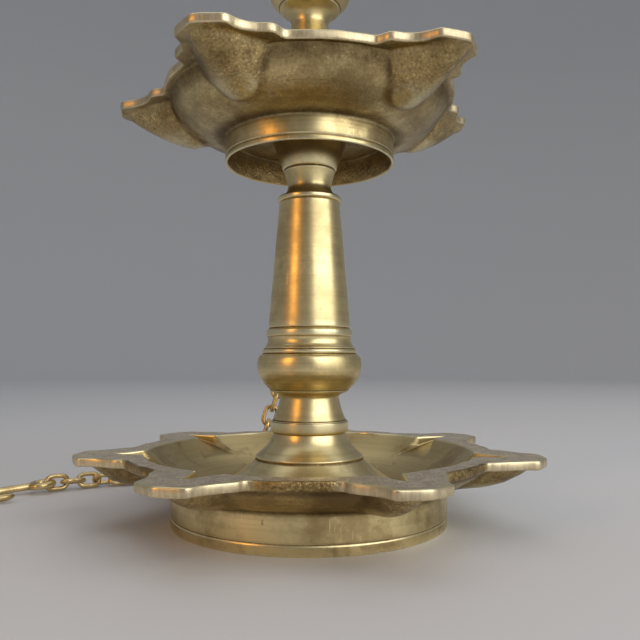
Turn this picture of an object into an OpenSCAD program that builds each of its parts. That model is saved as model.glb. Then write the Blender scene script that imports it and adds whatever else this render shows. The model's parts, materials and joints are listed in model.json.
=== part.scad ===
// Two tier brass oil lamp with spouted bowls, a turned stem and a hanging chain.
// Millimetres. The origin is the centre of the foot on the table, +Z is up and -Y is the front.
// Angles round the lamp are counted from the front towards +X.

/* [Lower bowl] */
// Radius of the foot ring
low_foot_r = 50; // [46:0.5:53]
// Height of the foot ring
low_foot_h = 13; // [11:0.5:15]
// Wall of the foot ring
low_foot_wall = 4; // [3:0.5:6]
// Height of the turned line on the foot ring
low_line_h = 3.6; // [2:0.1:8]
// Radius of the plain rim between the spouts
low_rim_r = 66.5; // [64:0.5:69]
// Width of the flat rim
low_rim_w = 7; // [5:0.5:9]
// Height of the rim above the table
low_rim_z = 25.3; // [24:0.1:29]
// Height of the floor inside the bowl
low_floor_z = 12.5; // [11.5:0.5:15]
// How far the inner wall leans in below the rim
low_lean_in = 10; // [6:0.5:14]
// Number of spouts
low_spouts = 7; // [5:1:7]
// Angle of the first spout
low_turn = 22.9; // [20:0.1:26]
// Distance of a spout's tip from the axis
low_tip_r = 84; // [80:0.5:90]
// Radius of a spout's shoulders
low_shoulder_r = 69.6; // [68:0.1:72]
// Half width of a spout at its shoulders
low_shoulder_half = 15.8; // [14.5:0.1:18]
// Half width of a spout's nose
low_nose_half = 9.4; // [8:0.1:11]
// How far the nose runs to a point
low_nose_depth = 3; // [2:0.1:5]
// Share of a spout's side that is scooped out before the nose
low_scoop = 0.55; // [0.2:0.05:0.7]
// Half width of a spout's keel at its root
low_keel_half = 13; // [11:0.5:14]
// How far a wick channel runs past the rim's inner edge
low_wick_l = 12; // [9:0.5:14]

/* [Upper bowl] */
// Radius of the foot ring
up_foot_r = 31.7; // [29:0.1:34]
// Depth of the foot ring under the floor
up_foot_drop = 9.5; // [7:0.5:12]
// Wall of the foot ring
up_foot_wall = 2.4; // [2:0.1:4]
// Height of the turned line on the foot ring
up_line_h = 1.9; // [1.5:0.1:5]
// Radius of the plain rim between the spouts
up_rim_r = 54.3; // [52:0.1:57]
// Width of the flat rim
up_rim_w = 7; // [5:0.5:9]
// Height of the rim over the underside of the floor
up_rim_h = 16.8; // [15:0.1:20]
// How far the rim plate overhangs the body
up_overhang = 2; // [1:0.1:3]
// How far the inner wall leans in below the rim
up_lean_in = 2.5; // [1.5:0.5:6]
// Number of spouts
up_spouts = 5; // [5:1:6]
// Angle of the first spout
up_turn = 44; // [40:0.1:48]
// Distance of a spout's tip from the axis
up_tip_r = 72; // [68:0.5:76]
// How much longer each spout is, in turn
up_tip_more = [0.5, -1, 0, 5, 0];
// Radius of a spout's shoulders
up_shoulder_r = 59.4; // [58:0.1:62]
// Half width of a spout at its shoulders
up_shoulder_half = 19; // [17:0.1:20]
// Half width of a spout's nose
up_nose_half = 9.8; // [8.5:0.1:11.5]
// How far the nose runs to a point
up_nose_depth = 4.5; // [2:0.1:6]
// Share of a spout's side that is scooped out before the nose
up_scoop = 0.3; // [0.2:0.05:0.7]
// Half width of a spout's keel at its root
up_keel_half = 15; // [12:0.5:16]
// How far a wick channel runs past the rim's inner edge
up_wick_l = 13; // [9:0.5:15]

/* [Both bowls] */
// Thickness of the rim plate
rim_t = 3; // [2.5:0.25:4]
// Thickness of the floors
floor_t = 4; // [3:0.5:5]
// Depth of the turned line on each foot ring
line_depth = 0.4; // [0.2:0.1:0.8]
// Half of the angle at which a wick channel's sides close
wick_half_angle = 23; // [18:1:26]
// Slope of a wick channel's floor
wick_slope = 20; // [15:1:21]

/* [Stem foot and column] */
// Radius of the flared foot on the floor
flare_r = 31; // [27:0.5:34]
// Height of the flared foot
flare_h = 19.3; // [17:0.1:24]
// Radius of the step part way up the flared foot
step_r = 20; // [18:0.5:22]
// Height of that step
step_h = 9.8; // [8:0.1:11]
// Radius of the flared foot at its top
flare_top_r = 13.4; // [12.5:0.1:14]
// Height of the lower column
column_h = 85.5; // [78:0.1:100]
// Radius of the ring at the bottom of the column
ring_r = 14.4; // [13:0.1:16]
// Height of that ring
ring_h = 3.8; // [3:0.1:5]
// Radius of the neck above the ring
neck_r = 10.9; // [9:0.1:12.5]
// Height of the neck's narrowest place
neck_z = 12.8; // [11.5:0.1:13.2]
// Radius of the knop's underside
cup_r = 14.2; // [13:0.1:16]
// Height of the knop's underside
cup_z = 15; // [13.5:0.1:17]
// Radius of the knop
knop_r = 19.4; // [17.5:0.1:22]
// Height of the knop's widest place
knop_z = 24; // [22:0.1:25.5]
// Radius of the knop's top
knop_top_r = 18; // [17:0.1:19]
// Height of the knop's top
knop_top_z = 28.3; // [27:0.1:30]
// Radius of the bead above the knop
bead_r = 16.1; // [15.5:0.1:17.5]
// Height of the bead's underside
bead_z = 35.3; // [33:0.1:38]
// Height of the bead
bead_h = 2; // [1.5:0.1:3]
// Radius of the column at its top
column_top_r = 11.4; // [9.5:0.1:13]

/* [Spool and upper stem] */
// Height of the spool between the column and the upper bowl
spool_h = 23.9; // [21:0.1:28]
// Radius of the spool's collar
spool_collar_r = 12; // [11.6:0.1:13.5]
// Height of the spool's collar
spool_collar_h = 2; // [1.5:0.1:3]
// Radius of the spool's neck
spool_neck_r = 8.2; // [7:0.1:9.5]
// Height of the spool's neck
spool_neck_h = 6.2; // [5:0.1:8]
// Height of the turned line on the spool
spool_line_h = 12.3; // [10:0.1:14]
// Radius of the spool at that line
spool_line_r = 10.2; // [9.6:0.1:11.5]
// Radius of the spool's seat under the upper bowl
spool_seat_r = 14.2; // [12.5:0.1:14.5]
// Radius of the flared foot inside the upper bowl
up_flare_r = 22; // [19:0.5:25]
// Height of that flared foot
up_flare_h = 31.3; // [28:0.1:36]
// Height of the turned line on it
up_flare_line_h = 16.4; // [13:0.1:19]
// Size of the upper stem's ring, bead and screwed ends against the lower ones
up_ratio = 0.755; // [0.7:0.005:0.82]
// Radius of the upper stem's neck
up_neck_r = 7; // [6.4:0.1:8]
// Height of that neck's narrowest place
up_neck_z = 9.5; // [8:0.1:10.5]
// Radius of the upper knop's underside
up_cup_r = 11.2; // [10:0.1:12.5]
// Height of the upper knop's underside
up_cup_z = 15.7; // [14.5:0.1:16.5]
// Radius of the upper knop
up_knop_r = 15.6; // [14.4:0.1:17]
// Height of the upper knop's widest place
up_knop_z = 22.1; // [21:0.1:23]
// Radius of the upper knop's top
up_knop_top_r = 13.6; // [13:0.1:14.2]
// Height of the upper knop's top
up_knop_top_z = 25.5; // [24:0.1:27]
// Height of the upper stem
up_stem_h = 61.5; // [56:0.5:72]
// Radius of the upper stem at its top
up_top_r = 8.4; // [7.5:0.1:9.5]

/* [Finial, eye and ring] */
// Height of the finial up to the middle of its eye
finial_h = 16; // [14:0.5:22]
// Radius of the finial's waist and stalk
finial_waist_r = 4.7; // [4:0.1:5.5]
// Radius of the finial's bud
bud_r = 7.5; // [6.5:0.1:9]
// Height of the bud's widest place
bud_z = 7.4; // [6:0.1:8]
// Radius of the finial's eye
eye_r = 6.2; // [5.6:0.1:7]
// Gap from the top of the bud to the middle of the eye
bud_gap = 4.4; // [4.2:0.1:6]
// Thickness of the finial's eye
eye_t = 6; // [4:0.5:7]
// Play between the ring and the eye
eye_play = 0.3; // [0.2:0.05:0.6]
// Wire radius of the ring
ring_wire_r = 1.5; // [1.2:0.1:1.6]
// Radius of the ring to the middle of its wire
ring_mid_r = 10; // [9.5:0.5:12]

/* [Screwed joints] */
// Radius of the tenons that pass through the bowls' floors
tenon_r = 6; // [5:0.1:7]
// Radius of the screwed end of the column and of the spool
spigot_r = 5; // [4:0.1:5.5]
// Length of the screwed ends
spigot_l = 10; // [7:0.5:13]
// Radial play of the screwed ends
thread_play = 0.1; // [0.05:0.01:0.2]
// Width of the nut under the lower bowl across its flats
nut_flats = 19; // [17:0.5:22]
// Thickness of the nut
nut_t = 4.5; // [3.5:0.5:5]

/* [Chain and hook] */
// Wire radius of a link
wire_r = 1; // [0.8:0.05:1.05]
// Distance from link to link
pitch = 7; // [6.8:0.1:8]
// Half width of a link's opening
link_gap_half = 1.8; // [1.75:0.05:2.2]
// Play between two links
link_play = 0.25; // [0.2:0.05:0.4]
// Play between the chain and the spout it hangs over
drape_play = 0.4; // [0.2:0.1:1]
// Angle between the hanging chain and the rear spout's tip
drape_turn = 3; // [0:0.5:5]
// Wire radius of the hook
hook_wire_r = 1.5; // [1.2:0.1:1.6]
// Radius of the hook's eye to the middle of its wire
hook_eye_r = 4.3; // [4:0.1:5]
// Length of the hook's shank
hook_shank = 12; // [9:0.5:18]
// Radius of the hook's bend to the middle of its wire
hook_bend_r = 8; // [7:0.5:11]
// How far round the hook's bend goes
hook_turn = 215; // [180:5:240]

/* [Hidden] */
$fn = 64;

// Heights of the seats and seams, from the table up
low_under_z = low_floor_z - floor_t;
foot_seam_z = low_floor_z + flare_h;
column_seam_z = foot_seam_z + column_h;
up_under_z = column_seam_z + spool_h;
up_floor_z = up_under_z + floor_t;
up_rim_z = up_under_z + up_rim_h;
stem_seam_z = up_floor_z + up_flare_h;
finial_z = stem_seam_z + up_stem_h;
eye_z = finial_z + finial_h;

// Fine turning: small steps, the width of a turned line and the overlap of shapes that are one piece
cut = 0.4;
line_w = 0.8;
lap = 1;

// Castings: how far the spouts stand proud of the plain rim, the flat round each flared foot
// and the end of a keel
proud = 0.2;
floor_flat = 4;
keel_end_r = 1.8;
keel_short = 1.5;

// Spout sizes and where each stands in the list
TIP = 0;
SHOULDER_R = 1;
SHOULDER_HALF = 2;
NOSE_HALF = 3;
NOSE_DEPTH = 4;
SCOOP = 5;
KEEL_HALF = 6;
WICK_L = 7;
low_spout = [low_tip_r, low_shoulder_r, low_shoulder_half, low_nose_half, low_nose_depth, low_scoop,
  low_keel_half, low_wick_l];
up_spout = [up_tip_r, up_shoulder_r, up_shoulder_half, up_nose_half, up_nose_depth, up_scoop,
  up_keel_half, up_wick_l];
low_tip_more = [];

// The smaller screwed ends of the upper stem and the finial, and the room left past each end
tenon_over = 1;
socket_spare = 1;
up_spigot_r = spigot_r * up_ratio;
finial_spigot_r = up_spigot_r * up_ratio;
finial_spigot_l = spigot_l * up_ratio;

// Link sizes, and the angles of a hanging stretch and of one link against the next
straight_down = 90;
quarter_turn = 90;
link_mid_r = link_gap_half + wire_r;
link_half_w = link_mid_r + wire_r;
link_side = pitch + link_play + 2 * wire_r - 2 * link_mid_r;
link_back = wire_r + link_play / 2;

// From the eye the chain slopes to the tip of the rear spout, with a whole number of link pairs
rear_az = up_turn + 360 / up_spouts * floor(up_spouts / 2) - 90 - drape_turn;
chain_start = 2 * ring_mid_r - (ring_wire_r - wire_r);
over_r = up_tip_r + link_half_w + drape_play;
over_dist = norm([over_r, eye_z - up_rim_z - rim_t]);
slope_links = 2 * floor((over_dist - chain_start) / (2 * pitch));
slope_len = chain_start + slope_links * pitch;
slope_dip = acos(over_r / slope_len);
slope_end_z = eye_z - slope_len * sin(slope_dip);

// There it drops, leans aside and comes down on the table, where its links roll until they lie on two wires
long_run = 4;
short_run = 2;
end_run = 3;
lean_az = rear_az + quarter_turn;
least_lean = 14;
landing_angle_3 = 49;
landing_angle_4 = 23.5;
land_play = 0.25;
land_z = link_half_w + land_play;
land_fall = land_z + short_run * pitch * (sin(landing_angle_3) + sin(landing_angle_4));
lean_len = 2 * long_run * pitch;
lean_z = land_fall + lean_len * cos(least_lean) - pitch;
drop_links = 2 * floor((slope_end_z - lean_z) / (2 * pitch)) + 1;
drop_end_z = slope_end_z - drop_links * pitch;
lean_dip = asin((drop_end_z - land_fall) / lean_len);
lie_turn = 45;
lie_twist = lie_turn / (long_run + 1);
lie_z = link_mid_r * sin(lie_turn) + wire_r;
lie_dip = asin((land_z - lie_z) / (long_run * pitch));

// Its end rises until the last link stands upright and holds the hook, whose bend lies on the table
end_rise = asin((land_z - lie_z) / ((long_run + end_run) * pitch));
end_twist = lie_turn / end_run;
table_turn_2 = 17;
table_turn_3 = 31;
hook_az = lean_az + 22;
hook_eye_back = wire_r + link_play + hook_wire_r;
hook_dip = asin((land_z - hook_wire_r) / (2 * hook_eye_r + hook_shank + hook_bend_r));

// Each stretch: links, plan direction, dip below level, extra roll of its first link, twist per link,
// and how far behind the last wire of the stretch before it bends
STRETCHES = [
  [long_run, rear_az, slope_dip, 0, 0, 0],
  [long_run, rear_az, slope_dip, 0, 0, 0],
  [slope_links - 2 * long_run, rear_az, slope_dip, 0, 0, 0],
  [drop_links - 2 * long_run, rear_az, straight_down, 0, 0, 0],
  [long_run, rear_az, straight_down, quarter_turn, 0, 0],
  [long_run, rear_az, straight_down, quarter_turn, 0, 0],
  [long_run, lean_az, lean_dip, 0, 0, 0],
  [long_run, lean_az, lean_dip, 0, 0, 0],
  [short_run, lean_az, landing_angle_3, 0, 0, 0],
  [short_run, lean_az, landing_angle_4, 0, 0, 0],
  [long_run, lean_az, lie_dip, 2 * lie_twist, lie_twist, 0],
  [long_run, lean_az + table_turn_2, -end_rise, lie_turn, 0, link_back],
  [end_run, lean_az + table_turn_3, -end_rise, lie_turn - end_twist, -end_twist, link_back]
];

// Direction of a plan angle and a dip, and that of a stretch
function heading(az, dip) = [cos(dip) * cos(az), cos(dip) * sin(az), -sin(dip)];
function way(i) = heading(STRETCHES[i][1], STRETCHES[i][2]);

// Where a stretch starts, where it ends and the point at which it bends from the one before
function start_of(i) = i == 0
  ? [0, 0, eye_z] + chain_start * way(0)
  : knee(i) + STRETCHES[i][5] * way(i);
function end_of(i) = start_of(i) + STRETCHES[i][0] * pitch * way(i);
function knee(i) = end_of(i - 1) - STRETCHES[i][5] * way(i - 1);

// Points of a smooth turn from a to c that is drawn towards b
function turn(a, b, c, n = 6) = [for (i = [0 : n])
  let (t = i / n) (1 - t) * (1 - t) * a + 2 * t * (1 - t) * b + t * t * c];

// A fine turned line in a straight upright face, listed upwards
function line_cut(r, z) = [[r, z - line_w / 2], [r - line_depth, z], [r, z + line_w / 2]];

// Outline of one spout along +X: nose, scooped sides, shoulders and a root inside the bowl
module spout_plate(spout, tip_r, root_r) {
  half = spout[SHOULDER_HALF];
  shoulder = [sqrt(spout[SHOULDER_R] * spout[SHOULDER_R] - half * half), half];
  corner = [tip_r - spout[NOSE_DEPTH], spout[NOSE_HALF]];
  bend = [shoulder[0] + (corner[0] - shoulder[0]) * spout[SCOOP], corner[1]];
  side = concat([[root_r, half + cut]], turn(shoulder, bend, corner));
  back = [for (i = [len(side) - 1 : -1 : 0]) [side[i][0], -side[i][1]]];
  linear_extrude(rim_t)
    polygon(concat(side, [[tip_r, 0]], back));
}

// Spouts of a bowl: the flat plates with a round keel under each
module spouts(spout, more, count, first, root_r, rim_z, keel_z, keel_in_r) {
  for (i = [0 : count - 1])
    rotate([0, 0, first - 90 + i * 360 / count]) {
      tip_r = spout[TIP] + (i < len(more) ? more[i] : 0);
      translate([0, 0, rim_z - rim_t])
        spout_plate(spout, tip_r, root_r);
      intersection() {
        translate([keel_in_r, 0, rim_z - rim_t + cut])
          rotate([0, 90, 0])
            cylinder(h = tip_r - keel_short - keel_in_r, r1 = spout[KEEL_HALF], r2 = keel_end_r);
        translate([keel_in_r, -tip_r / 2, keel_z])
          cube([tip_r, tip_r, rim_z - rim_t / 2 - keel_z]);
      }
    }
}

// Wick channels: wedges that narrow towards each tip, with a floor that climbs out of the bowl
module wick_channels(count, first, rim_in_r, wick_l, rim_z) {
  reach = 2 * wick_l;
  mouth = reach * tan(wick_half_angle);
  for (i = [0 : count - 1])
    rotate([0, 0, first - 90 + i * 360 / count])
      translate([rim_in_r + wick_l, 0, rim_z])
        intersection() {
          translate([0, 0, -reach])
            linear_extrude(2 * reach)
              polygon([[0, 0], [-reach, mouth], [-reach, -mouth]]);
          rotate([0, -wick_slope, 0])
            translate([-2 * reach, -reach, 0])
              cube(2 * reach);
        }
}

// The space inside a bowl, which trims whatever reaches in from the spouts
module bowl_hollow(inside) {
  rim = inside[0];
  floor_end = inside[len(inside) - 1];
  rotate_extrude()
    polygon(concat([[0, rim[1] + lap], [rim[0], rim[1] + lap]], inside, [[0, floor_end[1]]]));
}

// A cast bowl: the turned outside with its spouts, less the hollow, the wick channels and the tenon hole
module cast_bowl(outside, inside, spout, more, count, first, keel_z, keel_in_r) {
  rim = inside[0];
  color("darkgoldenrod")
    difference() {
      union() {
        rotate_extrude()
          polygon(concat(outside, [[0, rim[1] - proud]]));
        spouts(spout, more, count, first, rim[0] + lap, rim[1], keel_z, keel_in_r);
      }
      bowl_hollow(inside);
      wick_channels(count, first, rim[0], spout[WICK_L], rim[1]);
      translate([0, 0, outside[0][1] - lap])
        cylinder(h = floor_t + 2 * lap, r = tenon_r);
    }
}

module base_bowl() {
  foot_in_r = low_foot_r - low_foot_wall;
  rim_in_r = low_rim_r - low_rim_w;
  under_rim_z = low_rim_z - rim_t - cut;
  outside = concat(
    [[0, low_under_z], [foot_in_r, low_under_z], [foot_in_r, 0], [low_foot_r, 0]],
    line_cut(low_foot_r, low_line_h),
    [[low_foot_r, low_foot_h], [low_foot_r + line_w, low_foot_h]],
    [[low_rim_r, under_rim_z], [low_rim_r, low_rim_z - proud]]);
  inside = turn([rim_in_r, low_rim_z], [rim_in_r - low_lean_in, low_floor_z + cut],
    [flare_r + floor_flat, low_floor_z], 8);
  cast_bowl(outside, inside, low_spout, low_tip_more, low_spouts, low_turn, low_foot_h + cut,
    low_foot_r - floor_flat / 2);
}

module stem_foot() {
  step_z = low_floor_z + step_h;
  tenon_z = low_under_z - nut_t - tenon_over;
  body = concat(
    [[0, low_floor_z], [flare_r, low_floor_z], [flare_r, low_floor_z + line_w]],
    turn([flare_r - line_w, low_floor_z + 2 * line_w],
      [(flare_r + step_r) / 2 - lap, (low_floor_z + step_z) / 2], [step_r + cut, step_z - line_w]),
    [[step_r - cut, step_z]],
    turn([step_r, step_z + line_w],
      [flare_top_r + lap, (step_z + foot_seam_z) / 2], [flare_top_r, foot_seam_z - cut]),
    [[flare_top_r - cut, foot_seam_z], [0, foot_seam_z]]);
  color("goldenrod")
    difference() {
      union() {
        rotate_extrude()
          polygon(body);
        translate([0, 0, tenon_z])
          cylinder(h = low_floor_z + lap - tenon_z, r = tenon_r - thread_play);
      }
      translate([0, 0, foot_seam_z - spigot_l - socket_spare])
        cylinder(h = spigot_l + 2 * socket_spare, r = spigot_r);
    }
}

module base_nut() {
  color("darkgoldenrod")
    translate([0, 0, low_under_z - nut_t])
      difference() {
        cylinder(h = nut_t, r = nut_flats / sqrt(3), $fn = 6);
        translate([0, 0, -lap])
          cylinder(h = nut_t + 2 * lap, r = tenon_r);
      }
}

// Outline of the turnings from the bottom seam up: ring and bead at size k, neck and knop between them
function turnings(k, neck, cup, knop, top) =
  let (
    ring = k * ring_r,
    ring_z = k * ring_h,
    bead = k * bead_r,
    low_z = top.y + k * (bead_z - knop_top_z),
    high_z = low_z + k * bead_h)
  concat(
    [[ring - cut, 0], [ring, cut], [ring, ring_z]],
    turn([ring - cut, ring_z + cut], [neck.x + cut, (ring_z + neck.y) / 2], neck),
    turn(neck, [neck.x, (neck.y + cup.y) / 2], cup),
    turn(cup + [cut, cut], [knop.x, (cup.y + knop.y) / 2], knop),
    turn(knop, [knop.x, top.y - cut], top, 4),
    [top + [-cut, cut]],
    turn(top + [-cut, line_w], [bead - cut, (top.y + low_z) / 2], [bead - cut, low_z - cut]),
    [[bead, low_z], [bead, high_z], [bead - line_w, high_z + cut]],
    [[bead - line_w - cut, high_z + line_w], [bead - line_w, high_z + line_w + cut]]);

// Turned column with a taper to its top, a screwed end below and a socket in its top
module turned_column(outline, h, top_r, end_r, end_l, socket_r, socket_l) {
  body = concat([[0, 0]], outline, [[top_r, h - cut], [top_r - cut, h], [0, h]]);
  difference() {
    union() {
      rotate_extrude()
        polygon(body);
      translate([0, 0, -end_l])
        cylinder(h = end_l + lap, r = end_r - thread_play);
    }
    translate([0, 0, h - socket_l - socket_spare])
      cylinder(h = socket_l + 2 * socket_spare, r = socket_r);
  }
}

module column() {
  outline = turnings(1, [neck_r, neck_z], [cup_r, cup_z], [knop_r, knop_z], [knop_top_r, knop_top_z]);
  color("goldenrod")
    translate([0, 0, foot_seam_z])
      turned_column(outline, column_h, column_top_r, spigot_r, spigot_l, spigot_r, spigot_l);
}

module neck_spool() {
  tenon_l = floor_t + spigot_l;
  body = concat(
    [[0, 0], [spool_collar_r - cut, 0], [spool_collar_r, cut], [spool_collar_r, spool_collar_h - cut]],
    turn([spool_collar_r - cut, spool_collar_h], [spool_neck_r, spool_collar_h + line_w],
      [spool_neck_r, spool_neck_h]),
    turn([spool_neck_r, spool_neck_h], [spool_neck_r + cut, (spool_neck_h + spool_line_h) / 2],
      [spool_line_r - cut, spool_line_h - cut], 4),
    [[spool_line_r - line_w, spool_line_h], [spool_line_r, spool_line_h + cut]],
    [[spool_seat_r, spool_h], [0, spool_h]]);
  color("goldenrod")
    translate([0, 0, column_seam_z]) {
      rotate_extrude()
        polygon(body);
      translate([0, 0, -spigot_l])
        cylinder(h = spigot_l + lap, r = spigot_r - thread_play);
      translate([0, 0, spool_h - lap])
        cylinder(h = tenon_l + lap, r = tenon_r - thread_play);
    }
}

module upper_bowl() {
  foot_in_r = up_foot_r - up_foot_wall;
  rim_in_r = up_rim_r - up_rim_w;
  foot_z = up_under_z - up_foot_drop;
  foot_top_z = up_under_z - cut;
  under_rim_z = up_rim_z - rim_t - cut;
  outside = concat(
    [[0, up_under_z], [foot_in_r, up_under_z], [foot_in_r, foot_z], [up_foot_r, foot_z]],
    line_cut(up_foot_r, foot_z + up_line_h),
    [[up_foot_r, foot_top_z]],
    turn([up_foot_r + line_w, foot_top_z], [up_rim_r - 2 * up_overhang, foot_top_z + line_w],
      [up_rim_r - up_overhang, under_rim_z], 8),
    [[up_rim_r, under_rim_z], [up_rim_r, up_rim_z - proud]]);
  inside = turn([rim_in_r, up_rim_z], [rim_in_r - up_lean_in, up_floor_z + line_w],
    [up_flare_r + floor_flat, up_floor_z], 8);
  cast_bowl(outside, inside, up_spout, up_tip_more, up_spouts, up_turn, foot_top_z + cut,
    up_foot_r + floor_flat);
}

module upper_stem_foot() {
  top_r = up_ratio * ring_r - cut;
  line_r = top_r + 2 * line_w;
  body = concat(
    [[0, 0], [up_flare_r, 0], [up_flare_r, line_w]],
    turn([up_flare_r - line_w, 2 * line_w],
      [line_r + line_w, up_flare_line_h / 2], [line_r + cut, up_flare_line_h - cut]),
    [[line_r, up_flare_line_h]],
    turn([line_r + cut, up_flare_line_h + cut],
      [top_r, (up_flare_line_h + up_flare_h) / 2], [top_r, up_flare_h - cut]),
    [[top_r - cut, up_flare_h], [0, up_flare_h]]);
  color("goldenrod")
    translate([0, 0, up_floor_z])
      difference() {
        rotate_extrude()
          polygon(body);
        translate([0, 0, -socket_spare])
          cylinder(h = spigot_l + 2 * socket_spare, r = tenon_r);
        translate([0, 0, up_flare_h - spigot_l - socket_spare])
          cylinder(h = spigot_l + 2 * socket_spare, r = up_spigot_r);
      }
}

module upper_stem() {
  outline = turnings(up_ratio, [up_neck_r, up_neck_z], [up_cup_r, up_cup_z], [up_knop_r, up_knop_z],
    [up_knop_top_r, up_knop_top_z]);
  color("goldenrod")
    translate([0, 0, stem_seam_z])
      turned_column(outline, up_stem_h, up_top_r, up_spigot_r, spigot_l, finial_spigot_r, finial_spigot_l);
}

// The finial's eye or its hole, a cylinder across the way of the chain
module eye_round(r, l) {
  translate([0, 0, finial_h])
    rotate([0, 0, rear_az])
      rotate([90, 0, 0])
        cylinder(h = l, r = r, center = true);
}

module finial() {
  hole_sag = ring_mid_r - sqrt(ring_mid_r * ring_mid_r - eye_t * eye_t / 4);
  hole_r = ring_wire_r + hole_sag + eye_play;
  collar_r = up_top_r + cut;
  waist_z = bud_z / 2;
  stalk_z = finial_h - bud_gap;
  body = concat(
    [[0, 0], [collar_r - cut, 0], [collar_r, cut], [collar_r, cut + line_w]],
    turn([collar_r - line_w, 2 * line_w], [finial_waist_r, 2 * line_w], [finial_waist_r, waist_z], 4),
    turn([finial_waist_r, waist_z], [bud_r, waist_z + cut], [bud_r, bud_z], 5),
    turn([bud_r, bud_z], [bud_r - cut, stalk_z - cut], [finial_waist_r - cut, stalk_z], 5),
    [[finial_waist_r - cut, stalk_z + lap], [0, stalk_z + lap]]);
  color("goldenrod")
    translate([0, 0, finial_z])
      difference() {
        union() {
          rotate_extrude()
            polygon(body);
          translate([0, 0, -finial_spigot_l])
            cylinder(h = finial_spigot_l + lap, r = finial_spigot_r - thread_play);
          eye_round(eye_r, eye_t);
        }
        eye_round(hole_r, 4 * eye_t);
      }
}

// Places children at a point with +X along the heading and +Z at right angles to it, upwards
module along(point, az, dip) {
  translate(point)
    rotate([0, dip, az])
      children();
}

module top_ring() {
  color("goldenrod")
    along([0, 0, eye_z], rear_az, slope_dip)
      translate([ring_mid_r, 0, 0])
        rotate_extrude()
          translate([ring_mid_r, 0])
            circle(r = ring_wire_r);
}

// Oval link in its XY plane, long side along X
module link() {
  for (s = [-1, 1]) {
    translate([-link_side / 2, s * link_mid_r, 0])
      rotate([0, 90, 0])
        cylinder(h = link_side, r = wire_r);
    translate([s * link_side / 2, 0, 0])
      rotate([0, 0, s > 0 ? -90 : 90])
        rotate_extrude(angle = 180)
          translate([link_mid_r, 0])
            circle(r = wire_r);
  }
}

// One stretch of chain: links turned a quarter against each other
module chain_stretch(i) {
  s = STRETCHES[i];
  color("goldenrod")
    along(start_of(i), s[1], s[2])
      for (j = [0 : s[0] - 1])
        translate([(j + 0.5) * pitch - link_back, 0, 0])
          rotate([quarter_turn * (j + 1) + s[3] + j * s[4], 0, 0])
            link();
}

// Hook with a closed eye through the last link, a straight shank and an open bend
module hanging_hook() {
  last = len(STRETCHES) - 1;
  shank_x = 2 * hook_eye_r;
  color("goldenrod")
    along(end_of(last) - hook_eye_back * way(last), hook_az, hook_dip) {
      translate([hook_eye_r, 0, 0])
        rotate_extrude()
          translate([hook_eye_r, 0])
            circle(r = hook_wire_r);
      translate([shank_x, 0, 0])
        rotate([0, 90, 0])
          cylinder(h = hook_shank, r = hook_wire_r);
      translate([shank_x + hook_shank, hook_bend_r, 0])
        rotate([0, 0, -90])
          rotate_extrude(angle = hook_turn)
            translate([hook_bend_r, 0])
              circle(r = hook_wire_r);
    }
}

base_bowl();
stem_foot();
base_nut();
column();
neck_spool();
upper_bowl();
upper_stem_foot();
upper_stem();
finial();
top_ring();
chain_stretch(0);  // chain_slope_1
chain_stretch(1);  // chain_slope_2
chain_stretch(2);  // chain_slope_3
chain_stretch(3);  // chain_drop_1
chain_stretch(4);  // chain_drop_2
chain_stretch(5);  // chain_drop_3
chain_stretch(6);  // chain_lean_1
chain_stretch(7);  // chain_lean_2
chain_stretch(8);  // chain_lean_3
chain_stretch(9);  // chain_lean_4
chain_stretch(10);  // chain_table_1
chain_stretch(11);  // chain_table_2
chain_stretch(12);  // chain_table_3
hanging_hook();
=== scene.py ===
"""Looks of a two tier brass oil lamp: cast bowls with spouts, a turned stem and a hanging chain.

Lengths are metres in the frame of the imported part: Z is up, the front is towards -Y and the origin is
the centre of the foot on the table. Angles round the lamp are counted from the front towards +X.
"""

import functools
import json
import logging
import math
from dataclasses import dataclass, field, replace
from enum import Enum

import bpy
import numpy as np
from mathutils import Matrix, Vector, noise


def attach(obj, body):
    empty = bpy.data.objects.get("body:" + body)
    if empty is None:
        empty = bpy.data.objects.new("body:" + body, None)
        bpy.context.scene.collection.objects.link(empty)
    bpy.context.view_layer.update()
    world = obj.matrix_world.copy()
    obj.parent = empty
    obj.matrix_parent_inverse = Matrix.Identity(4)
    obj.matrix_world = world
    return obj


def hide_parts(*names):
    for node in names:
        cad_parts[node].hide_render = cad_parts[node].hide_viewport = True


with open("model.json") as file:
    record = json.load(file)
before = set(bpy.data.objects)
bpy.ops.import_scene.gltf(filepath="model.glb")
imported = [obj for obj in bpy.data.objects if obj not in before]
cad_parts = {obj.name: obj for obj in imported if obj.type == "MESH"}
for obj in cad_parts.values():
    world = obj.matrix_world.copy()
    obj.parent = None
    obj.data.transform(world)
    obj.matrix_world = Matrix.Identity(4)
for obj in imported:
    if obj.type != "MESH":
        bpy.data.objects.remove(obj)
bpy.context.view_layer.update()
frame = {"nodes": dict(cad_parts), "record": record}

log = logging.getLogger("oil_lamp")
MM = 0.001
NOISE_SEED = 11

Colour = tuple[float, float, float, float]
Socket = bpy.types.NodeSocket
Sockets = dict[str, Socket]


class Mask(Enum):
    """Vertex masks that the finishes read."""

    CAST = "cast"
    RIM = "rim"
    # Edge wear, and on the keels of the cast underside a painted highlight too.
    WORN = "worn"
    # Marks dirt in hollows, and painted shade on the cast underside: creases, under the rim, near the foot.
    GRIME = "grime"
    DULL = "dull"


class Slot(Enum):
    """Material slots of the record."""

    CAST = "cast_brass"
    TURNED = "turned_brass"
    CHAIN = "chain_brass"
    NUT = "nut_brass"


def drawn(start: tuple, towards: tuple, end: tuple, steps: int) -> list[tuple]:
    """Points of a smooth turn between two points.

    Args:
        start: First point.
        towards: Point that the turn is drawn towards.
        end: Last point.
        steps: Number of steps.

    Returns:
        The points, both ends among them.
    """
    a, b, c = np.array(start), np.array(towards), np.array(end)
    shares = np.linspace(0, 1, steps + 1)
    return [tuple((1 - t) ** 2 * a + 2 * t * (1 - t) * b + t * t * c) for t in shares]


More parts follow.
